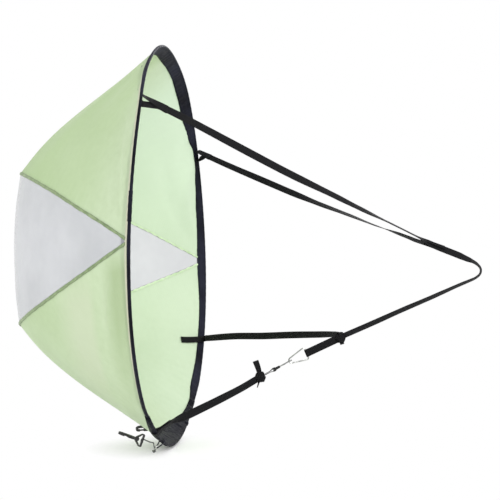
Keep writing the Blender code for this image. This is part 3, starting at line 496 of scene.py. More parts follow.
clothPaint = ripstopPaint()
windowPaint = filmPaint()
rimPaint = bindingPaint("blue-black satin binding", binding["rim"])
patchPaint = bindingPaint("blue-black foot patch", binding["patch"])
webPaint = webbingPaint()
outerTapePaint = tapePaint("green seam tape", tape["outer"])
liningPaint = tapePaint("pale seam lining", tape["lining"])
hemPaint = tapePaint("cream turned hem", tape["hem"])
brightPaint = wirePaint()
blackPaint = acetalPaint()
braidPaint = cordPaint()
fibrePaint = rodPaint()
print("materials made")


# Sizes of the sail in metres. Places are measured from the middle of the hoop, and lifted when a mesh is made

sail = {
    "centreHeight": 0.5359337,
    "halfWidth": 0.540,
    "halfHeight": 0.530,
    "bellyDepth": 0.424,
    "bellyPower": 1.6,
    "panelPuff": 0.036,
    "puffTowardsSeam": 0.008,
    "panelInset": 0.0040,
    "windowRise": 0.222,
    "windowFall": 0.193,
    "windowBulge": 0.018,
    "seamPower": 1.8,
    "tipDrop": 0.020,
    "hoopTwist": 0.05,
    # The twist eases in above this height, over this length
    "twistFrom": (-0.49, 0.09),
    # How far the hoop's top leans back, by the turn from its top in degrees
    "topLean": [
        (-80, 0.0), (-64, -0.0012), (-55, -0.0034), (-47, -0.0072), (-39, -0.0098), (-28, -0.0098),
        (-14, -0.0092), (-2, -0.0090), (8, -0.0068), (18, -0.0026), (30, 0.0),
    ],
}
lift = Vector((0.0, 0.0, sail["centreHeight"]))
upwards = Vector((0.0, 0.0, 1.0))
across = Vector((0.0, 1.0, 0.0))


# Mesh helpers

def finishPiece(name, mesh, paint, body="sail", stands=()):
    mesh.materials.append(paint)
    mesh.shade_smooth()
    piece = bpy.data.objects.new(name, mesh)
    bpy.context.scene.collection.objects.link(piece)
    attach(piece, body)
    if stands:
        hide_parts(*stands)
    return piece


def setUvs(mesh, spots):
    layer = mesh.uv_layers.new(name="cloth")
    for loop in mesh.loops:
        layer.data[loop.index].uv = spots[loop.vertex_index]


def meshFrom(name, points, faces, spots):
    mesh = bpy.data.meshes.new(name)
    mesh.from_pydata([point + lift for point in points], [], faces)
    setUvs(mesh, spots)
    return mesh


def sweptFaces(rings, count):
    # The faces of a closed form through rings of points, with its two ends
    faces = []
    for i in range(rings - 1):
        for j in range(count):
            k = (j + 1) % count
            faces.append((i * count + j, i * count + k, (i + 1) * count + k, (i + 1) * count + j))
    return faces + [tuple(reversed(range(count))), tuple(range((rings - 1) * count, rings * count))]


def gridPiece(name, rows, spots, paint, stands=(), thickness=0.0):
    # A sheet through rows of points, its texture places in metres
    wide = len(rows[0])
    faces = []
    for i in range(len(rows) - 1):
        for j in range(wide - 1):
            a = i * wide + j
            faces.append((a, a + 1, a + wide + 1, a + wide))
    points = [point for row in rows for point in row]
    mesh = meshFrom(name, points, faces, [spot for row in spots for spot in row])
    form = bmesh.new()
    form.from_mesh(mesh)
    bmesh.ops.dissolve_degenerate(form, dist=1e-6, edges=form.edges)
    form.to_mesh(mesh)
    form.free()
    piece = finishPiece(name, mesh, paint, stands=stands)
    if thickness:
        shell = piece.modifiers.new("thickness", "SOLIDIFY")
        shell.thickness = thickness
        shell.offset = 0.0
    return piece


def alongAt(path, i):
    return (path[min(i + 1, len(path) - 1)] - path[max(i - 1, 0)]).normalized()


def smoothPath(points, step):
    # A smooth curve through the points, in steps of about this length
    ends = [2 * points[0] - points[1]] + list(points) + [2 * points[-1] - points[-2]]
    path = []
    for before, start, end, after in zip(ends, ends[1:], ends[2:], ends[3:]):
        count = max(1, round((end - start).length / step))
        for i in range(count):
            t = i / count
            path.append(
                start
                + (end - before) * (t / 2)
                + (2 * before - 5 * start + 4 * end - after) * (t * t / 2)
                + (3 * (start - end) + after - before) * (t**3 / 2)
            )
    path.append(points[-1])
    return path


def pathLengths(path):
    lengths = [0.0]
    for first, second in zip(path, path[1:]):
        lengths.append(lengths[-1] + (second - first).length)
    return lengths


# Webbing's section, as shares of its width and thickness, with rounded edges
bandProfile = [
    (-0.5, 0.0), (-0.485, 0.32), (-0.45, 0.46), (-0.25, 0.5), (0.0, 0.5), (0.25, 0.5), (0.45, 0.46), (0.485, 0.32),
    (0.5, 0.0), (0.485, -0.32), (0.45, -0.46), (0.25, -0.5), (0.0, -0.5), (-0.25, -0.5), (-0.45, -0.46),
    (-0.485, -0.32),
]


def bandPiece(
    name, path, sides, paint=webPaint, stands=(), width=webbing["width"],
    thick=webbing["thick"], crown=0.0,
):
    # Webbing along a path. Its sides are its width's direction at each point, and its width may vary
    lengths = pathLengths(path)
    widths = width if hasattr(width, "__len__") else [width] * len(path)
    points, spots = [], []
    for i, point in enumerate(path):
        along = alongAt(path, i)
        side = (sides[i] - along * sides[i].dot(along)).normalized()
        face = along.cross(side)
        ripple = webbing["ripple"] * noise.noise(Vector((lengths[i] * 60, len(name), 0)))
        for a, b in bandProfile:
            bow = crown * (1 - (2 * a) ** 2)
            points.append(point + side * (a * widths[i]) + face * (b * thick + bow + ripple))
            spots.append((lengths[i], a * widths[i]))
    mesh = meshFrom(name, points, sweptFaces(len(path), len(bandProfile)), spots)
    form = bmesh.new()
    form.from_mesh(mesh)
    bmesh.ops.recalc_face_normals(form, faces=form.faces)
    form.to_mesh(mesh)
    form.free()
    return finishPiece(name, mesh, paint, stands=stands)


def tubePiece(name, path, radius, paint, body="sail", stands=(), sides=12):
    # A round rod or cord swept along a path without twisting
    side = alongAt(path, 0).orthogonal().normalized()
    lengths = pathLengths(path)
    points, spots = [], []
    for i, point in enumerate(path):
        along = alongAt(path, i)
        side = (side - along * side.dot(along)).normalized()
        other = along.cross(side)
        for j in range(sides):
            turn = 2 * math.pi * j / sides
            points.append(point + side * (radius * math.cos(turn)) + other * (radius * math.sin(turn)))
            spots.append((lengths[i], j / sides))
    mesh = meshFrom(name, points, sweptFaces(len(path), sides), spots)
    return finishPiece(name, mesh, paint, body, stands)


def frameOf(origin, along, side):
    xAxis = along.normalized()
    zAxis = xAxis.cross(side).normalized()
    yAxis = zAxis.cross(xAxis)
    return Matrix.Translation(origin) @ Matrix((xAxis, yAxis, zAxis)).transposed().to_4x4()


def easedAt(table, value):
    # The value in a table of places, eased from one to the next
    for (low, first), (high, second) in zip(table, table[1:]):
        if value <= high:
            t = max(0.0, (value - low) / (high - low))
            return first + (second - first) * (t * t * (3 - 2 * t))
    return table[-1][1]


def curvedAt(table, value):
    # The value in a table of places, on one smooth curve through all of them
    last = len(table) - 1
    if value <= table[0][0] or value >= table[last][0]:
        return table[0][1] if value <= table[0][0] else table[last][1]
    i = max(k for k in range(last) if table[k][0] <= value)
    (low, first), (high, second) = table[i], table[i + 1]
    t = (value - low) / (high - low)
    before, after = table[max(i - 1, 0)], table[min(i + 2, last)]
    leave = (second - before[1]) / (high - before[0]) * (high - low) if i > 0 else 0.0
    reach = (after[1] - first) / (after[0] - low) * (high - low) if i + 1 < last else 0.0
    return (
        first * (2 * t**3 - 3 * t * t + 1) + leave * (t**3 - 2 * t * t + t)
        + second * (3 * t * t - 2 * t**3) + reach * (t**3 - t * t)
    )


# The form of the sail

tipReach = sail["halfWidth"] * math.sqrt(1 - (sail["tipDrop"] / sail["halfHeight"]) ** 2)


def hoopX(y, z):
    # The sprung hoop stands slightly twisted above its foot, and its top leans back
    start, length = sail["twistFrom"]
    upper = min(1.0, max(0.0, (z - start) / length))
    turn = math.degrees(math.atan2(y / sail["halfWidth"], z / sail["halfHeight"]))
    reach = min(1.0, math.hypot(y / sail["halfWidth"], z / sail["halfHeight"]))
    return -sail["hoopTwist"] * y * z * upper + curvedAt(sail["topLean"], turn) * reach**3


def rim(degrees, inset=0.0):
    turn = math.radians(degrees)
    y = (sail["halfWidth"] - inset) * math.sin(turn)
    z = (sail["halfHeight"] - inset) * math.cos(turn)
    return Vector((hoopX(y, z), y, z))


def seamHeight(y, upper):
    fullness = 1 - min(abs(y) / tipReach, 1.0) ** sail["seamPower"]
    return -sail["tipDrop"] + (sail["windowRise"] if upper else -sail["windowFall"]) * fullness


def bowlX(y, z):
    # How deep the bowl lies behind the hoop
    fullness = 1 - min(abs(y) / tipReach, 1.0) ** sail["bellyPower"]
    high, low = seamHeight(y, True), seamHeight(y, False)
    if low <= z <= high:
        middle = (high + low) / 2
        half = max((high - low) / 2, 0.001)
        bulge = sail["windowBulge"] * fullness * (1 - ((z - middle) / half) ** 2)
        return -sail["bellyDepth"] * fullness - bulge
    rimZ = sail["halfHeight"] * math.sqrt(max(0.0, 1 - (y / sail["halfWidth"]) ** 2))
    seam, edge = (high, rimZ) if z > high else (low, -rimZ)
    if abs(z) >= abs(edge):
        return 0.0
    share = (z - seam) / (edge - seam)
    puff = sail["panelPuff"] * math.sin(math.pi * share) + sail["puffTowardsSeam"] * math.sin(2 * math.pi * share)
    return -fullness * (sail["bellyDepth"] * (1 - share) + puff)


def sailX(y, z):
    return hoopX(y, z) + bowlX(y, z)


def sailNormal(y, z):
    # The way from the cloth into the bowl
    step = 0.0005
    slopeY = (sailX(y + step, z) - sailX(y - step, z)) / (2 * step)
    slopeZ = (sailX(y, z + step) - sailX(y, z - step)) / (2 * step)
    return Vector((1, -slopeY, -slopeZ)).normalized()


def sailPoint(y, z, height=0.0):
    return Vector((sailX(y, z), y, z)) + sailNormal(y, z) * height


def clothEdge(y):
    inset = sail["panelInset"]
    return (sail["halfHeight"] - inset) * math.sqrt(max(0.0, 1 - (y / (sail["halfWidth"] - inset)) ** 2))


def panelEnd(upper):
    # How far out a panel's seam meets its edge
    low, high = tipReach / 2, sail["halfWidth"] - sail["panelInset"]
    for _ in range(40):
        middle = (low + high) / 2
        seam = seamHeight(middle, upper)
        inside = clothEdge(middle) > seam if upper else -clothEdge(middle) < seam
        low, high = (middle, high) if inside else (low, middle)
    return low


def spread(k, count, end):
    # Places across the sail: even in the middle and closer near the tips
    even = -end + 2 * end * k / count
    rounded = -end * math.cos(math.pi * k / count)
    return 0.55 * even + 0.45 * rounded


# The cloth, with heights and depths in metres

panel = {
    "columns": 340,
    "rows": 64,
    # How much closer the rows lie towards the seam and the rim
    "crowding": 0.25,
    "pucker": 0.0007,
    "puckerTurns": 460,
    "puckerReach": 0.022,
    "gather": 0.0010,
    "gatherTurns": 118,
    "gatherReach": 0.05,
    "billow": 0.006,
    "smallBillow": 0.0022,
    "fold": 0.0022,
    "foldTurns": 38,
    # The form eases over these lengths from the tips, the rim and the seams
    "tipEase": 0.12,
    "rimEase": 0.02,
    "seamEase": 0.03,
    # Long soft creases from the tips: side, way up or down, depth, breadth and steepness
    "creases": [
        (-1, -1, -0.016, 0.060, 1.9), (-1, -1, 0.010, 0.070, 3.2), (-1, 1, 0.010, 0.060, 2.4),
        (-1, 1, -0.008, 0.070, 3.6), (1, -1, -0.007, 0.060, 2.2), (1, 1, 0.007, 0.060, 2.6),
        (1, 1, -0.006, 0.070, 1.6),
    ],
    # Where the creases fade in and out across the sail, and how far they keep from the rim
    "creaseIn": (0.10, 0.16),
    "creaseOut": (0.525, 0.05),
    "creaseFromRim": (0.036, 0.06),
}


def creaseHeight(y, z):
    height = 0.0
    (start, fadeIn), (end, fadeOut) = panel["creaseIn"], panel["creaseOut"]
    for side, way, depth, breadth, steep in panel["creases"]:
        reach = side * y
        if reach < start:
            continue
        fade = min(1.0, (reach - start) / fadeIn) * min(1.0, max(0.0, (end - reach) / fadeOut))
        fromTip = tipReach - reach
        middle = -sail["tipDrop"] + way * (0.012 + fromTip * steep)
        height += depth * fade * math.exp(-(((z - middle) / (breadth * (0.35 + fromTip * 1.6))) ** 2))
    return height


def puckerAt(y):
    return math.sin(y * panel["puckerTurns"] + 3 * noise.noise(Vector((y * 20, 1, 0))))


def clothRise(y, z, sign, t, fromSeam, fromRim):
    # What puckers, gathers, billows, folds and creases add to the plain form
    pucker = panel["pucker"] * puckerAt(y) * math.exp(-fromSeam / panel["puckerReach"])
    angle = math.atan2(y / sail["halfWidth"], z / sail["halfHeight"])
    gather = math.sin(angle * panel["gatherTurns"] + 4 * noise.noise(Vector((angle * 7, 4, sign))))
    gather *= panel["gather"] * math.exp(-fromRim / panel["gatherReach"]) * min(1.0, fromRim / panel["rimEase"])
    billow = panel["billow"] * noise.noise(Vector((y * 5, z * 3.2, 7)))
    billow += panel["smallBillow"] * noise.noise(Vector((y * 16, z * 9, 3)))
    middle = math.sin(math.pi * t)
    fold = math.sin(y * panel["foldTurns"] + 5 * noise.noise(Vector((y * 3, z * 2, 9))))
    fold *= panel["fold"] * middle
    ease = min(1.0, max(0.0, tipReach - abs(y)) / panel["tipEase"])
    clear, fade = panel["creaseFromRim"]
    crease = creaseHeight(y, z) * min(1.0, max(0.0, fromRim - clear) / fade) ** 1.5
    crease *= min(1.0, fromSeam / panel["seamEase"])
    return (pucker + billow * middle + fold + gather * middle**0.5) * ease + crease


def makePanel(name, node, upper):
    end = panelEnd(upper) * 0.9995
    sign = 1 if upper else -1
    rows, spots = [], []
    for k in range(panel["columns"] + 1):
        y = spread(k, panel["columns"], end)
        seam = seamHeight(y, upper)
        edge = sign * clothEdge(y)
        row, spotRow = [], []
        lastPoint, run = None, 0.0
        for j in range(panel["rows"] + 1):
            t = j / panel["rows"]
            t = t + panel["crowding"] * math.sin(2 * math.pi * t) / (2 * math.pi)
            z = seam + (edge - seam) * t
            rise = clothRise(y, z, sign, t, abs(z - seam), abs(edge - z) * 0.8)
            point = Vector((sailX(y, z) + rise, y, z))
            if lastPoint is not None:
                run += (point - lastPoint).length
            lastPoint = point
            row.append(point)
            spotRow.append((y, run))
        rows.append(row)
        spots.append(spotRow)
    return gridPiece(name, rows, spots, clothPaint, stands=[node])


window = {"columns": 260, "rows": 44, "seamGap": 0.0008, "cockle": 0.0035, "smallCockle": 0.0012, "tipEase": 0.1}


def makeWindow():
    end = sail["halfWidth"] - 2 * sail["panelInset"]
    rows, spots = [], []
    for k in range(window["columns"] + 1):
        y = spread(k, window["columns"], end)
        low, high = seamHeight(y, False) + window["seamGap"], seamHeight(y, True) - window["seamGap"]
        row, spotRow = [], []
        for j in range(window["rows"] + 1):
            t = j / window["rows"]
            z = low + (high - low) * t
            ease = min(1.0, max(0.0, tipReach - abs(y)) / window["tipEase"]) * math.sin(math.pi * t)
            cockle = window["cockle"] * noise.noise(Vector((y * 9, z * 7, 2)))
            cockle += window["smallCockle"] * noise.noise(Vector((y * 26, z * 20, 5)))
            row.append(Vector((sailX(y, z) + cockle * ease, y, z)))
            spotRow.append((y, z))
        rows.append(row)
        spots.append(spotRow)
    return gridPiece("clear_window", rows, spots, windowPaint, stands=["window"])


seamTape = {
    "columns": 300,
    "section": (-0.5, -0.38, -0.2, -0.05, 0.05, 0.2, 0.38, 0.5),
    "thick": 0.0005,
    "tipGap": 0.008,
    "crown": 0.0004,
    "wander": 0.0012,
    "smallWander": 0.0007,
    "pucker": 0.0004,
    "outer": {"width": 0.0070, "height": -0.0014, "scallop": 0.10, "scallopTurns": 150},
    "lining": {"width": 0.0062, "height": 0.0012, "scallop": 0.30, "scallopTurns": 380},
}


def makeTape(name, upper, kind, paint, stands=()):
    inside = kind is seamTape["lining"]
    crownWay = 1 if inside else -1
    rows, spots = [], []
    for k in range(seamTape["columns"] + 1):
        y = spread(k, seamTape["columns"], sail["halfWidth"] - seamTape["tipGap"])
        wander = seamTape["wander"] * noise.noise(Vector((y * 11, upper, 4)))
        wander += seamTape["smallWander"] * noise.noise(Vector((y * 45, upper, inside)))
        pucker = seamTape["pucker"] * puckerAt(y)
        width = kind["width"] * (1 + kind["scallop"] * math.sin(y * kind["scallopTurns"]))
        row = []
        for share in seamTape["section"]:
            crown = seamTape["crown"] * (1 - (2 * share) ** 2)
            z = seamHeight(y, upper) + wander + share * width
            row.append(sailPoint(y, z, kind["height"] + crown * crownWay) + Vector((pucker, 0, 0)))
        rows.append(row)
        spots.append([(y, share * kind["width"]) for share in seamTape["section"]])
    gridPiece(name, rows, spots, paint, stands=stands, thickness=seamTape["thick"])


upperCloth = makePanel("upper_cloth", "upper_panel", True)
lowerCloth = makePanel("lower_cloth", "lower_panel", False)
clearWindow = makeWindow()
makeTape("upper_seam_outside", True, seamTape["outer"], outerTapePaint, ["upper_seam_tape"])
makeTape("lower_seam_outside", False, seamTape["outer"], outerTapePaint, ["lower_seam_tape"])
makeTape("upper_seam_inside", True, seamTape["lining"], liningPaint)
makeTape("lower_seam_inside", False, seamTape["lining"], liningPaint)

print("cloth made")


# Binding folded over the rim. Turns are in degrees from the top of the hoop, positive towards the far side

rimBinding = {
    "start": -80,
    "end": 280,
    "step": 0.5,
    "radius": 0.0032,
    "height": 0.0017,
    # Widths by the turn from the top. The inside is drawn narrow where the upper strap loops gather it
    "insideWidths": [
        (0, 0.0360), (9, 0.0335), (14, 0.033), (26, 0.036), (36, 0.036), (46, 0.026), (52, 0.0145), (57, 0.0140),
        (64, 0.021), (74, 0.027), (92, 0.029), (112, 0.022), (128, 0.0215), (140, 0.025), (150, 0.0130),
        (165, 0.020), (180, 0.026),
    ],
    "outsideWidths": [
        (0, 0.0095), (12, 0.0085), (24, 0.0048), (62, 0.0040), (80, 0.0056), (110, 0.0064), (140, 0.0086),
        (180, 0.010),
    ],
    # Outside, it is broader for a stretch above the near loop
    "nearShoulder": [(-56, 0.0), (-48, 0.0022), (-41, 0.0056), (-33, 0.0056), (-24, 0.0010), (-18, 0.0)],
}
bindingLap = {
    "start": -87.5,
    "end": -80.2,
    "step": 0.4,
    "radius": 0.0040,
    "height": 0.0030,
    "inside": 0.0285,
    "outside": 0.0066,
}
footPatch = {
    "start": -212,
    "end": -143,
    "step": 0.5,
    "radius": 0.0046,
    "height": 0.0031,
    # Widths at the patch's ends, what its middle adds, and how pointed it is
    "inside": (0.0150, 0.0395, 2.0),
    "outside": (0.0086, 0.0319, 0.95),
}
foldLook = {
    "thick": 0.0008,
    "ripple": 0.00045,
    "ripples": 190,
    "unevenness": 0.0003,
    "insideShares": (1.0, 0.86, 0.7, 0.52, 0.36, 0.22),
    "outsideShares": (0.35, 0.6, 0.8, 1.0),
    "bulge": 0.05,
    "bulges": 150,
    # How far the edges are pressed down, as shares of the height
    "insideEdge": 0.55,
    "outsideEdge": 0.7,
}


def rimFrame(degrees):
    # A place on the rod, with the ways along the rod, over the cloth and behind it
    centre = rim(degrees)
    along = (rim(degrees + 0.2) - rim(degrees - 0.2)).normalized()
    inner = rim(degrees, 0.029)
    inward = sailPoint(inner.y, inner.z) - centre
    inward = (inward - along * inward.dot(along)).normalized()
    aft = inward.cross(along)
    if aft.x < 0:
        aft = -aft
    return centre, along, inward, aft


def clothPlace(degrees, length, height=0.0):
    # A place on the cloth at this length from the rod
    inset = length
    for _ in range(4):
        inner = rim(degrees, inset)
        inset *= length / (sailPoint(inner.y, inner.z) - rim(degrees)).length
    inner = rim(degrees, inset)
    return sailPoint(inner.y, inner.z, height)


def foldSection(degrees, fold, insideFlap, outsideFlap):
    # From the binding's inside edge, round the rod, to its outside edge
    centre, _, inward, aft = rimFrame(degrees)
    radius, height = fold["radius"], fold["height"]
    wave = noise.noise(Vector((degrees * 0.9, radius * 900, 0)))
    ripple = foldLook["ripple"] * math.sin(
        math.radians(degrees) * foldLook["ripples"] + 5 * noise.noise(Vector((degrees * 0.25, 2, 0)))
    )
    points = []
    for share in foldLook["insideShares"]:
        offset = clothPlace(degrees, insideFlap * (1 + 0.03 * wave) * share) - centre
        rise = height + ripple * (0.4 + 0.6 * share) + foldLook["unevenness"] * wave
        if share == 1.0:
            rise = height * foldLook["insideEdge"]
        points.append((offset.dot(inward), offset.dot(aft) + rise))
    for turn in range(50, 311, 20):
        angle = math.radians(turn)
        bulged = radius * (1 + foldLook["bulge"] * math.sin(math.radians(degrees) * foldLook["bulges"] + turn))
        points.append((bulged * math.cos(angle), bulged * math.sin(angle)))
    for share in foldLook["outsideShares"]:
        offset = clothPlace(degrees, max(outsideFlap * share, radius * 0.9)) - centre
        rise = height - ripple * share if share < 1 else height * foldLook["outsideEdge"]
        points.append((offset.dot(inward), offset.dot(aft) - rise))
    return [centre + inward * a + aft * b for a, b in points]


def makeFold(name, node, paint, fold, insideWidth, outsideWidth):
    start, end = fold["start"], fold["end"]
    count = max(2, round((end - start) / fold["step"]))
    rows, spots = [], []
    for k in range(count + 1):
        degrees = start + (end - start) * k / count
        row = foldSection(degrees, fold, insideWidth(k / count), outsideWidth(k / count))
        run = pathLengths(row)
        middle = run[len(run) // 2]
        rows.append(row)
        spots.append([(math.radians(degrees) * sail["halfWidth"], abs(r - middle)) for r in run])
    return gridPiece(name, rows, spots, paint, stands=[node], thickness=foldLook["thick"])


def bindingTurn(share):
    return (rimBinding["start"] + 360 * share + 180) % 360 - 180


def bindingInside(share):
    return easedAt(rimBinding["insideWidths"], abs(bindingTurn(share)))


def bindingOutside(share):
    turn = bindingTurn(share)
    return easedAt(rimBinding["outsideWidths"], abs(turn)) + easedAt(rimBinding["nearShoulder"], turn)


def patchWidth(side):
    least, more, power = footPatch[side]
    return lambda share: least + more * math.sin(math.pi * share) ** power


makeFold("rim_binding", "rim_sleeve", rimPaint, rimBinding, bindingInside, bindingOutside)
makeFold(
    "rim_binding_end", "sleeve_end", rimPaint, bindingLap,
    lambda share: bindingLap["inside"], lambda share: bindingLap["outside"],
)
makeFold("foot_patch_cloth", "foot_patch", patchPaint, footPatch, patchWidth("inside"), patchWidth("outside"))
rodPath = [rim(180.04 + 359.92 * k / 360) for k in range(361)]
tubePiece("rod", rodPath, rod["width"] / 2, fibrePaint, stands=["hoop_rod"])

# The pale turned edge of the near half's cloth, just outside the binding
hem = {
    "start": -150,
    "turn": 130,
    "columns": 300,
    "rows": 4,
    "inset": 0.003,
    "width": 0.0110,
    "height": -0.0011,
    "thick": 0.0004,
}


def makeHem():
    columns, count = hem["columns"], hem["rows"]
    rows, spots = [], []
    for k in range(columns + 1):
        degrees = hem["start"] + hem["turn"] * k / columns
        width = hem["width"] * math.sin(math.pi * k / columns) ** 0.4
        row = [clothPlace(degrees, hem["inset"] + width * j / count, hem["height"]) for j in range(count + 1)]
        rows.append(row)
        spots.append([(math.radians(degrees) * sail["halfWidth"], 0.003 * j) for j in range(count + 1)])
    gridPiece("turned_hem", rows, spots, hemPaint, thickness=hem["thick"])


makeHem()
print("binding made")


# The reins. Each place is from the middle of the hoop, with the webbing's tilt in degrees from edge-on

nearRein = {
    "places": [
        (0.0447, -0.4227, 0.2969, 58), (0.1070, -0.3794, 0.2686, 62), (0.2334, -0.2940, 0.2062, 72),
        (0.3297, -0.2280, 0.1597, 69), (0.4307, -0.1599, 0.1148, 48), (0.5006, -0.1124, 0.0829, 36),
        (0.5728, -0.0626, 0.0512, 15), (0.6474, -0.0118, 0.0172, 14), (0.6844, -0.0020, -0.0022, 50),
        (0.7206, -0.0020, -0.0172, 58),
    ],
    # Each leg of its loop round the rim: the turn where it leaves, its tilt and its side
    "legs": [(-52.3, 14, 0.0016), (-55.3, 52, -0.0016)],
}
farRein = {
    "places": [
        (0.0236, 0.4238, 0.3095, 62), (0.1203, 0.3601, 0.2590, 68), (0.2125, 0.2986, 0.2124, 76),
        (0.3002, 0.2415, 0.1681, 70), (0.3839, 0.1865, 0.1273, 43), (0.4638, 0.1336, 0.0911, 30),
        (0.5402, 0.0829, 0.0551, 14), (0.6134, 0.0354, 0.0234, -18), (0.6488, 0.0117, 0.0067, -24),
        (0.6844, 0.0022, -0.0060, -30), (0.7206, 0.0022, -0.0210, -30),
    ],
    "legs": [(52.0, 40, 0.0019), (55.2, 52, -0.0019)],
}
handRein = {
    "step": 0.004,
    "places": [
        (0.6700, 0.0, 0.0012, 52), (0.6844, 0.0, -0.0037, 56), (0.7206, 0.0, -0.0187, 64),
        (0.7567, 0.0, -0.0336, 64), (0.7772, 0.0, -0.0431, 50), (0.7977, 0.0, -0.0525, 30),
        (0.8104, 0.0, -0.0631, 24), (0.8151, 0.0, -0.0737, 22), (0.8115, 0.0, -0.0857, 20),
        (0.7995, 0.0, -0.0951, 20), (0.7865, 0.0, -0.1010, 22), (0.7553, 0.0, -0.1139, 26),
        (0.6822, 0.0, -0.1462, 34), (0.6087, 0.0, -0.1774, 39), (0.5349, 0.0, -0.2101, 44),
        (0.4600, 0.0, -0.2425, 46), (0.4500, 0.0, -0.2470, 46),
    ],
}
strapStep = 0.006
rimLoop = {"overRod": 0.0034, "overBinding": 0.0064, "onRein": 0.020, "turning": 1.3, "step": 0.003}


def route(places, step):
    # A smooth path through the places, and its tilt at each point
    spots = [Vector(place[:3]) for place in places]
    path = smoothPath(spots, step)
    tilts = []
    for i, (first, second) in enumerate(zip(spots, spots[1:])):
        count = max(1, round((second - first).length / step))
        for k in range(count):
            t = k / count
            t = t * t * (3 - 2 * t)
            tilts.append(places[i][3] * (1 - t) + places[i + 1][3] * t)
    tilts.append(places[-1][3])
    return path, tilts


def tiltedSides(path, tilts):
    # The width's direction, turned from edge-on by each tilt
    sides = []
    for i, tilt in enumerate(tilts):
        along = alongAt(path, i)
        flat = (across - along * across.dot(along)).normalized()
        turn = math.radians(tilt)
        sides.append(flat * math.cos(turn) + along.cross(flat) * math.sin(turn))
    return sides


def reinPiece(name, node, rein):
    path, tilts = route(rein["places"], rein.get("step", strapStep))
    bandPiece(name, path, tiltedSides(path, tilts), stands=[node])


def makeRimLoop(name, node, rein):
    # Webbing round the rim: each leg leaves it at its own turn and closes on the rein
    apex, onward = Vector(rein["places"][0][:3]), Vector(rein["places"][1][:3])
    onward = (onward - apex).normalized()
    end, endTilt = apex + onward * rimLoop["onRein"], rein["places"][0][3]
    for number, (degrees, tilt, side) in enumerate(rein["legs"]):
        centre, _, _, aft = rimFrame(degrees)
        start, root = centre + aft * rimLoop["overRod"], centre + aft * rimLoop["overBinding"]
        normal = onward.cross(tiltedSides([apex, end], [endTilt] * 2)[0]) * side
        middle = root.lerp(apex, 0.5) + normal * 0.5
        path = smoothPath([start, root, middle, apex + normal, end + normal], rimLoop["step"])
        lengths = pathLengths(path)
        shares = [min(1.0, length / lengths[-1] * rimLoop["turning"]) for length in lengths]
        tilts = [tilt + (endTilt - tilt) * share for share in shares]
        stands = [node] if number == 0 else ()
        bandPiece(name + "_leg_" + str(number + 1), path, tiltedSides(path, tilts), stands=stands)


reinPiece("near_upper_rein", "upper_near_strap", nearRein)
reinPiece("far_upper_rein", "upper_far_strap", farRein)
reinPiece("hand_loop_rein", "hand_rein", handRein)
makeRimLoop("near_top_loop", "upper_near_loop", nearRein)
makeRimLoop("far_top_loop", "upper_far_loop", farRein)


# Knots: webbing wraps drawn tight over a packed middle, with loose tails

reinKnot = {
    "place": (0.552, 0.0, -0.470),
    "core": (0.0115, 0.0115, 0.0062),
    # Each wrap's turn, place, breadth, depth, width and lean
    "wraps": [(18, 0.0, 0.0128, 0.0078, 0.0165, 0.002), (-48, 0.001, 0.0132, 0.0068, 0.0150, -0.002)],
    # Each tail's turn, start, length, and width at its root and its end
    "tails": [(-84, 0.004, 0.0150, 0.012, 0.011)],
}
nearKnot = {
    "place": (0.295, -0.125, -0.658),
    "core": (0.0115, 0.0110, 0.0062),
    "wraps": [(-20, 0.0, 0.0122, 0.0078, 0.0165, 0.002), (42, -0.001, 0.0128, 0.0068, 0.0150, -0.002)],
    "tails": [(79, 0.004, 0.0400, 0.012, 0.018), (-136, 0.004, 0.0250, 0.007, 0.002)],
}
coreLook = {"squareness": 0.8, "lump": 0.10, "smallLump": 0.05}
wrapLook = {"steps": 48, "thick": 0.0017, "crown": 0.0007, "bulge": 0.04, "narrowing": 0.10, "twist": 0.06}
tailLook = {"step": 0.002, "arch": 0.002, "droop": 0.001, "twist": 0.25}
clip = {"foot": (0.3855, -0.0806, -0.585), "length": 0.056, "wire": 0.0036}
reinReach = 0.808


def reinPlace(shares):
    # A place by its shares of the reins' reach and the hoop's half width and height
    reach, side, height = shares
    return Vector((reinReach * reach, sail["halfWidth"] * side, sail["halfHeight"] * height))


def coreMesh(name, size, spot):
    mesh = bpy.data.meshes.new(name)
    form = bmesh.new()
    bmesh.ops.create_uvsphere(form, u_segments=32, v_segments=20, radius=1.0)
    for vert in form.verts:
        place = vert.co.copy()
        square = [math.copysign(abs(c) ** coreLook["squareness"], c) for c in place]
        lump = 1 + coreLook["lump"] * noise.noise(place * 2.3) + coreLook["smallLump"] * noise.noise(place * 6)
        vert.co = spot @ Vector([part * reach * lump for part, reach in zip(square, size)]) + lift
    form.to_mesh(mesh)
    form.free()
    setUvs(mesh, [(vertex.co.x + vertex.co.z, vertex.co.y * 0.5) for vertex in mesh.vertices])
    return mesh


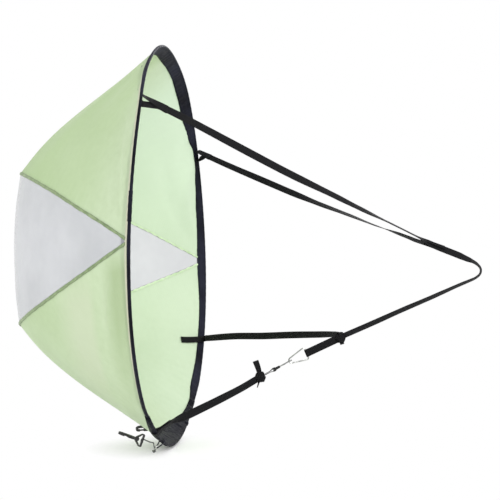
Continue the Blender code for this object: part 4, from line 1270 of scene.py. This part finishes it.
def makeKnot(name, node, spot, knot):
    core = coreMesh(name + "_middle", knot["core"], spot)
    finishPiece(name + "_middle", core, webPaint, stands=[node])
    turnOf = spot.to_3x3()
    steps = wrapLook["steps"]
    for number, (turn, centre, breadth, depth, width, lean) in enumerate(knot["wraps"]):
        roll = Matrix.Rotation(math.radians(turn), 3, "Z")
        path, sides, widths = [], [], []
        for k in range(steps + 1):
            t = 2 * math.pi * k / steps
            bulge = 1 + wrapLook["bulge"] * math.sin(3 * t + number)
            local = Vector((centre + lean * math.sin(t), breadth * math.cos(t) * bulge, depth * math.sin(t)))
            path.append(spot @ (roll @ local))
            sides.append(turnOf @ (roll @ Vector((1.0, 0.0, wrapLook["twist"] * math.sin(2 * t)))))
            widths.append(width * (1 - wrapLook["narrowing"] * math.sin(t + turn) ** 2))
        wrapName = name + "_wrap_" + str(number + 1)
        bandPiece(wrapName, path, sides, width=widths, thick=wrapLook["thick"], crown=wrapLook["crown"])
    for number, (turn, start, length, wide, end) in enumerate(knot["tails"]):
        roll = Matrix.Rotation(math.radians(turn), 3, "Z")
        run = turnOf @ (roll @ Vector((1.0, 0.0, 0.0)))
        flat = turnOf @ (roll @ Vector((0.0, 1.0, 0.0)))
        face = turnOf @ Vector((0.0, 0.0, 1.0))
        root = spot.translation + run * start
        middle = root + run * (length * 0.5) + face * tailLook["arch"]
        tip = root + run * length + (flat - face) * tailLook["droop"]
        path = smoothPath([root, middle, tip], tailLook["step"])
        shares = [k / (len(path) - 1) for k in range(len(path))]
        sides = [flat.lerp(face, tailLook["twist"] * share) for share in shares]
        widths = [wide + (end - wide) * share for share in shares]
        bandPiece(name + "_tail_" + str(number + 1), path, sides, width=widths)


knotOne, knotTwo, clipFoot = reinPlace(reinKnot["place"]), reinPlace(nearKnot["place"]), reinPlace(clip["foot"])
clipTop = clipFoot + (knotOne - clipFoot).normalized() * (clip["length"] - clip["wire"])
clipRun = (clipTop - knotOne).normalized()
makeKnot("rein_knot", "knot_1", frameOf(knotOne, clipRun, upwards), reinKnot)

# The strap from the far side of the rim, its end sewn down inside the bowl
farStrap = {
    "turn": 120.9,
    # The sewn end: each place's turn, its length from the rod and its height over the cloth
    "sewn": [(124.5, 0.080, 0.0022), (123.75, 0.060, 0.0024), (122.6, 0.034, 0.0034), (121.7, 0.0145, 0.0048)],
    "overBinding": 0.0070,
    "sewnStep": 0.004,
    "turnsOver": 12,
    "places": [
        (0.0217, 0.4211, -0.2672, 80), (0.1223, 0.3205, -0.2573, 80), (0.2158, 0.2278, -0.2534, 78),
        (0.3030, 0.1408, -0.2476, 72), (0.3845, 0.0594, -0.2435, 60), (0.4233, 0.0198, -0.2416, 48),
        (0.4370, 0.0060, -0.2415, 42),
    ],
}


def upFrame(degrees):
    # A place on the rod, the way up along it, and the way behind the cloth
    centre, along, _, aft = rimFrame(degrees)
    return centre, along if along.z > 0 else -along, aft


def makeFarStrap():
    centre, along, aft = upFrame(farStrap["turn"])
    path, tilts = route(farStrap["places"], strapStep)
    sewn = [clothPlace(*place) for place in farStrap["sewn"]] + [centre + aft * farStrap["overBinding"]]
    start = smoothPath(sewn + path[:1], farStrap["sewnStep"])[:-1]
    sides = [along] * len(start)
    for i, side in enumerate(tiltedSides(path, tilts)):
        sides.append(along.lerp(side, min(1.0, i / farStrap["turnsOver"])))
    bandPiece("far_lower_strap", start + path, sides, stands=["lower_far_strap"])


makeFarStrap()

# Doubled webbing: its legs end short of a knot, or at a length, and are apart by twice the half stack

clipWebbing = {"short": 0.010, "radius": 0.0030, "halfStack": 0.0012, "width": 0.020, "thick": 0.0015}
snapWebbing = {"short": 0.009, "radius": 0.0046, "halfStack": 0.0013, "width": 0.0185, "thick": 0.0015}
rimWebbing = {"length": 0.046, "radius": 0.0070, "halfStack": 0.0019, "width": 0.020, "thick": 0.0016}


def foldedWebbing(name, node, spot, legsEnd, fold):
    # Webbing folded round a bar on the frame's z, its two legs out along x
    radius, halfStack = fold["radius"], fold["halfStack"]
    legsStart = radius * 2.4
    outline = [(legsEnd + (legsStart - legsEnd) * k / 8, halfStack) for k in range(9)]
    for turn in range(55, 306, 10):
        outline.append((radius * math.cos(math.radians(turn)), radius * math.sin(math.radians(turn))))
    outline += [(legsStart + (legsEnd - legsStart) * k / 8, -halfStack) for k in range(9)]
    path = [spot @ Vector((a, b, 0.0)) for a, b in outline]
    sides = [spot.to_3x3().col[2]] * len(path)
    bandPiece(name, path, sides, stands=[node], width=fold["width"], thick=fold["thick"])


clipSpot = frameOf(clipTop, clipFoot - clipTop, upwards)
clipBar = clipSpot.to_3x3().col[1].normalized()
strapSpot = frameOf(clipTop, -clipRun, clipBar.cross(-clipRun))
foldedWebbing("clip_webbing", "clip_strap", strapSpot, (knotOne - clipTop).length - clipWebbing["short"], clipWebbing)

# The small snap's eye in its webbing, and the knot there
snap = {"reach": 0.0284, "eye": -0.016725}
snapRun = (clipFoot - knotTwo).normalized()
snapSpot = frameOf(clipFoot - snapRun * snap["reach"], snapRun, across)
snapEye = snapSpot @ Vector((snap["eye"], 0.0, 0.0))
makeKnot("near_knot", "knot_2", frameOf(knotTwo, snapEye - knotTwo, upwards), nearKnot)
eyeSpot = frameOf(snapEye, knotTwo - snapEye, (knotTwo - snapEye).cross(across))
foldedWebbing("snap_webbing", "knot_2_bight", eyeSpot, (knotTwo - snapEye).length - snapWebbing["short"], snapWebbing)

# The lower near strap into its loop on the rim
nearStrap = {
    "turn": -152.5,
    "places": [
        (0.2290, -0.0730, -0.3540, 62), (0.1883, -0.1000, -0.3770, 64), (0.1304, -0.1500, -0.4050, 76),
        (0.0747, -0.2000, -0.4302, 88),
    ],
    # Where its end lies in the loop, from the rod, and how soon it has turned to lie flat there
    "endAt": (0.046, 0.028),
    "turning": 1.4,
}


def makeNearStrap():
    centre, along, _ = upFrame(nearStrap["turn"])
    bend = Vector(nearStrap["places"][-1][:3])
    pull = bend - centre
    pull = (pull - along * pull.dot(along)).normalized()
    path, tilts = route(nearStrap["places"], strapStep)
    end = smoothPath([bend] + [centre + pull * reach for reach in nearStrap["endAt"]], strapStep)
    sides = tiltedSides(path, tilts)
    last = sides[-1]
    for k in range(1, len(end)):
        share = k / (len(end) - 1)
        sides.append(last.lerp(along if last.dot(along) > 0 else -along, min(1.0, share * nearStrap["turning"])))
    bandPiece("near_lower_strap", path + end[1:], sides, stands=["lower_near_strap"])
    loopSpot = frameOf(centre, pull, pull.cross(along))
    foldedWebbing("near_rim_loop", "lower_near_loop", loopSpot, rimWebbing["length"], rimWebbing)


makeNearStrap()
print("reins made")


# Ring tabs and tethers at the foot

ringTab = {
    "width": 0.010,
    "thick": 0.0011,
    "rimRadius": 0.0064,
    "ringRadius": 0.0022,
    "ringAt": 0.018,
    # Turns round the rim and the ring, from, to and in how many steps
    "rimTurns": (78, 282, 18),
    "ringTurns": (-80, 80, 10),
    "step": 0.003,
}
ring = {"bottom": 0.031, "wireRadius": 0.00125}
hookEye = {"barRadius": 0.0030}
cordBends = {"gap": 0.0003, "ringTurns": (60, 300, 14), "eyeTurns": (300, 60, 14), "step": 0.001, "runStep": 0.003}
tethers = {
    # Each side's turn on the rim, its tab's drop, its hook's eye, and the cord's places from ring to hook
    "near": {
        "turn": -161.0,
        "drop": (-0.624, -0.250, -0.740),
        "eye": (-0.0347, -0.2500, -0.4892),
        "places": [(-0.0175, -0.1945, -0.5085), (-0.0165, -0.2050, -0.5010), (-0.0210, -0.2230, -0.4965)],
    },
    "far": {
        "turn": 161.0,
        "drop": (-0.624, 0.250, -0.740),
        "eye": (-0.0897, 0.2106, -0.5167),
        "places": [(-0.0430, 0.1900, -0.5212), (-0.0640, 0.1965, -0.5190)],
    },
}


def placesRound(middle, away, plane, radius, first, last, count):
    # Places round a bar, from one turn to another, seen along the plane's normal
    straight = (away - plane * away.dot(plane)).normalized()
    side = plane.cross(straight)
    spots = []
    for k in range(count + 1):
        turn = math.radians(first + (last - first) * k / count)
        spots.append(middle + straight * (radius * math.cos(turn)) + side * (radius * math.sin(turn)))
    return spots


def makeTether(side, tether):
    centre, along, _, _ = rimFrame(tether["turn"])
    drop = Vector(tether["drop"])
    drop = (drop - along * drop.dot(along)).normalized()

    # The tab closes round the rim and round the ring
    top, step = centre + drop * ringTab["ringAt"], ringTab["step"]
    overRim = placesRound(centre, drop, along, ringTab["rimRadius"], *ringTab["rimTurns"])
    overRing = placesRound(top, drop, along, ringTab["ringRadius"], *ringTab["ringTurns"])
    tab = overRim + smoothPath([overRim[-1], overRing[0]], step)[1:-1] + overRing
    tab += smoothPath([overRing[-1], overRim[0]], step)[1:]
    bandPiece(
        side + "_tab", tab, [along] * len(tab), rimPaint, stands=[side + "_ring_tab"],
        width=ringTab["width"], thick=ringTab["thick"],
    )

    # The cord is bent round the ring's wire and the hook's bar
    places, eye = [Vector(place) for place in tether["places"]], Vector(tether["eye"])
    ringWay = drop.cross(along).cross(drop).normalized()
    ringRadius = ring["wireRadius"] + cordBends["gap"] + cord["width"] / 2
    bottom = centre + drop * ring["bottom"]
    start = placesRound(bottom, (places[0] - bottom).normalized(), ringWay, ringRadius, *cordBends["ringTurns"])
    back = (places[-1] - eye).normalized()
    eyeRadius = hookEye["barRadius"] + cord["width"] / 2
    end = placesRound(eye, back, upwards.cross(back).normalized(), eyeRadius, *cordBends["eyeTurns"])
    between = smoothPath([start[-1]] + places + [end[0]], cordBends["runStep"])[1:-1]
    path = smoothPath(start, cordBends["step"]) + between + smoothPath(end, cordBends["step"])
    piece = tubePiece(
        side + "_cord", path, cord["width"] / 2, braidPaint, side + "_tether_group", [side + "_tether"]
    )


for side, tether in tethers.items():
    makeTether(side, tether)
print("tethers made")


# Hard pieces keep their solids, with finished materials

fittings = {
    "bright": [
        "pear_clip_body", "pear_clip_gate", "near_tether_ring", "far_tether_ring", "small_snap_body",
        "small_snap_gate", "rod_ferrule",
    ],
    "black": [
        "small_snap_eye", "near_deck_hook_eye", "near_deck_hook_body", "near_deck_hook_gate", "far_deck_hook_eye",
        "far_deck_hook_body", "far_deck_hook_gate",
    ],
}
for kind, paint in (("bright", brightPaint), ("black", blackPaint)):
    for nodeName in fittings[kind]:
        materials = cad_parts[nodeName].data.materials
        materials.clear()
        materials.append(paint)
print("fittings painted")


# Floor, light and camera

studio = {
    "floorSize": 14.0,
    "floorHeight": -0.003,
    # The floor fades to white between these reaches from its middle
    "floorFade": (0.03, 0.24),
    "floor": {"Base Color": (0.93, 0.93, 0.93, 1.0), "Roughness": 0.8, "Specular IOR Level": 0.1},
    "light": 0.85,
    # Each lamp's place, aim, size and power
    "lamps": {
        "key": ((2.6, -1.6, 2.6), (0.0, 0.0, 0.5), 1.6, 70),
        "fill": ((-2.2, -2.6, 1.8), (-0.2, 0.0, 0.5), 1.8, 28),
        "back": ((0.6, 2.8, 2.4), (0.0, 0.0, 0.5), 1.8, 30),
    },
    "azimuth": 5.96,
    "elevation": -2.98,
    "roll": -0.36,
    "distance": 2.6,
    "aim": (0.206, 0.0, -0.014),
    "sensor": 36.0,
    "focalShare": 965.2 / 500,
}
white = (1.0, 1.0, 1.0, 1.0)


def makeFloor():
    form = bmesh.new()
    bmesh.ops.create_grid(form, x_segments=1, y_segments=1, size=studio["floorSize"])
    mesh = bpy.data.meshes.new("floor")
    form.to_mesh(mesh)
    form.free()
    floor = bpy.data.objects.new("floor", mesh)
    bpy.context.scene.collection.objects.link(floor)
    floor.location = (0.0, 0.0, studio["floorHeight"])
    paint, tree, shader = paintNamed("white floor")
    setAll(tree, shader, studio["floor"])
    place = tree.nodes.new("ShaderNodeTexCoord")
    far = tree.nodes.new("ShaderNodeVectorMath")
    far.operation = "LENGTH"
    tree.links.new(place.outputs["Object"], far.inputs[0])
    fade = ramp(tree, far.outputs["Value"], *studio["floorFade"])
    rays = tree.nodes.new("ShaderNodeLightPath")
    plain = tree.nodes.new("ShaderNodeEmission")
    setAll(tree, plain, {"Color": white, "Strength": 1.0})
    seen = product(tree, fade, rays.outputs["Is Camera Ray"])
    mixShaders(tree, seen, shader, plain, tree.nodes["Material Output"])
    mesh.materials.append(paint)


def makeWorld():
    # Soft light all round, and plain white behind and through the window
    world = bpy.data.worlds.new("studio")
    bpy.context.scene.world = world
    world.use_nodes = True
    tree = world.node_tree
    tree.nodes.clear()
    soft = tree.nodes.new("ShaderNodeBackground")
    setAll(tree, soft, {"Color": white, "Strength": studio["light"]})
    plain = tree.nodes.new("ShaderNodeBackground")
    setAll(tree, plain, {"Color": white, "Strength": 1.0})
    rays = tree.nodes.new("ShaderNodeLightPath")
    seen = calc(tree, "MAXIMUM", rays.outputs["Is Camera Ray"], rays.outputs["Is Transmission Ray"])
    mixShaders(tree, seen, soft, plain, tree.nodes.new("ShaderNodeOutputWorld"))


def makeLamp(name, place, aim, size, power):
    light = bpy.data.lights.new(name, "AREA")
    light.shape = "DISK"
    light.size = size
    light.energy = power
    lamp = bpy.data.objects.new(name, light)
    lamp.location = place
    lamp.rotation_euler = (Vector(aim) - Vector(place)).to_track_quat("-Z", "Y").to_euler()
    bpy.context.scene.collection.objects.link(lamp)


def makeCamera():
    azimuth, elevation, roll = [math.radians(studio[name]) for name in ("azimuth", "elevation", "roll")]
    level = math.cos(elevation)
    back = Vector((math.sin(azimuth) * level, -math.cos(azimuth) * level, math.sin(elevation)))
    right = (-back).cross(upwards).normalized()
    above = right.cross(-back)
    turnedRight = right * math.cos(roll) + above * math.sin(roll)
    turnedUp = above * math.cos(roll) - right * math.sin(roll)
    place = Vector(studio["aim"]) + lift + back * studio["distance"]
    data = bpy.data.cameras.new("camera")
    data.sensor_width = studio["sensor"]
    data.lens = studio["sensor"] * studio["focalShare"]
    data.clip_end = 60.0
    camera = bpy.data.objects.new("camera", data)
    camera.matrix_world = Matrix.Translation(place) @ Matrix((turnedRight, turnedUp, back)).transposed().to_4x4()
    bpy.context.scene.collection.objects.link(camera)
    bpy.context.scene.camera = camera


makeFloor()
makeWorld()
for name, settings in studio["lamps"].items():
    makeLamp(name, *settings)
makeCamera()
bpy.context.scene.view_settings.view_transform = "Standard"
print("stage made")
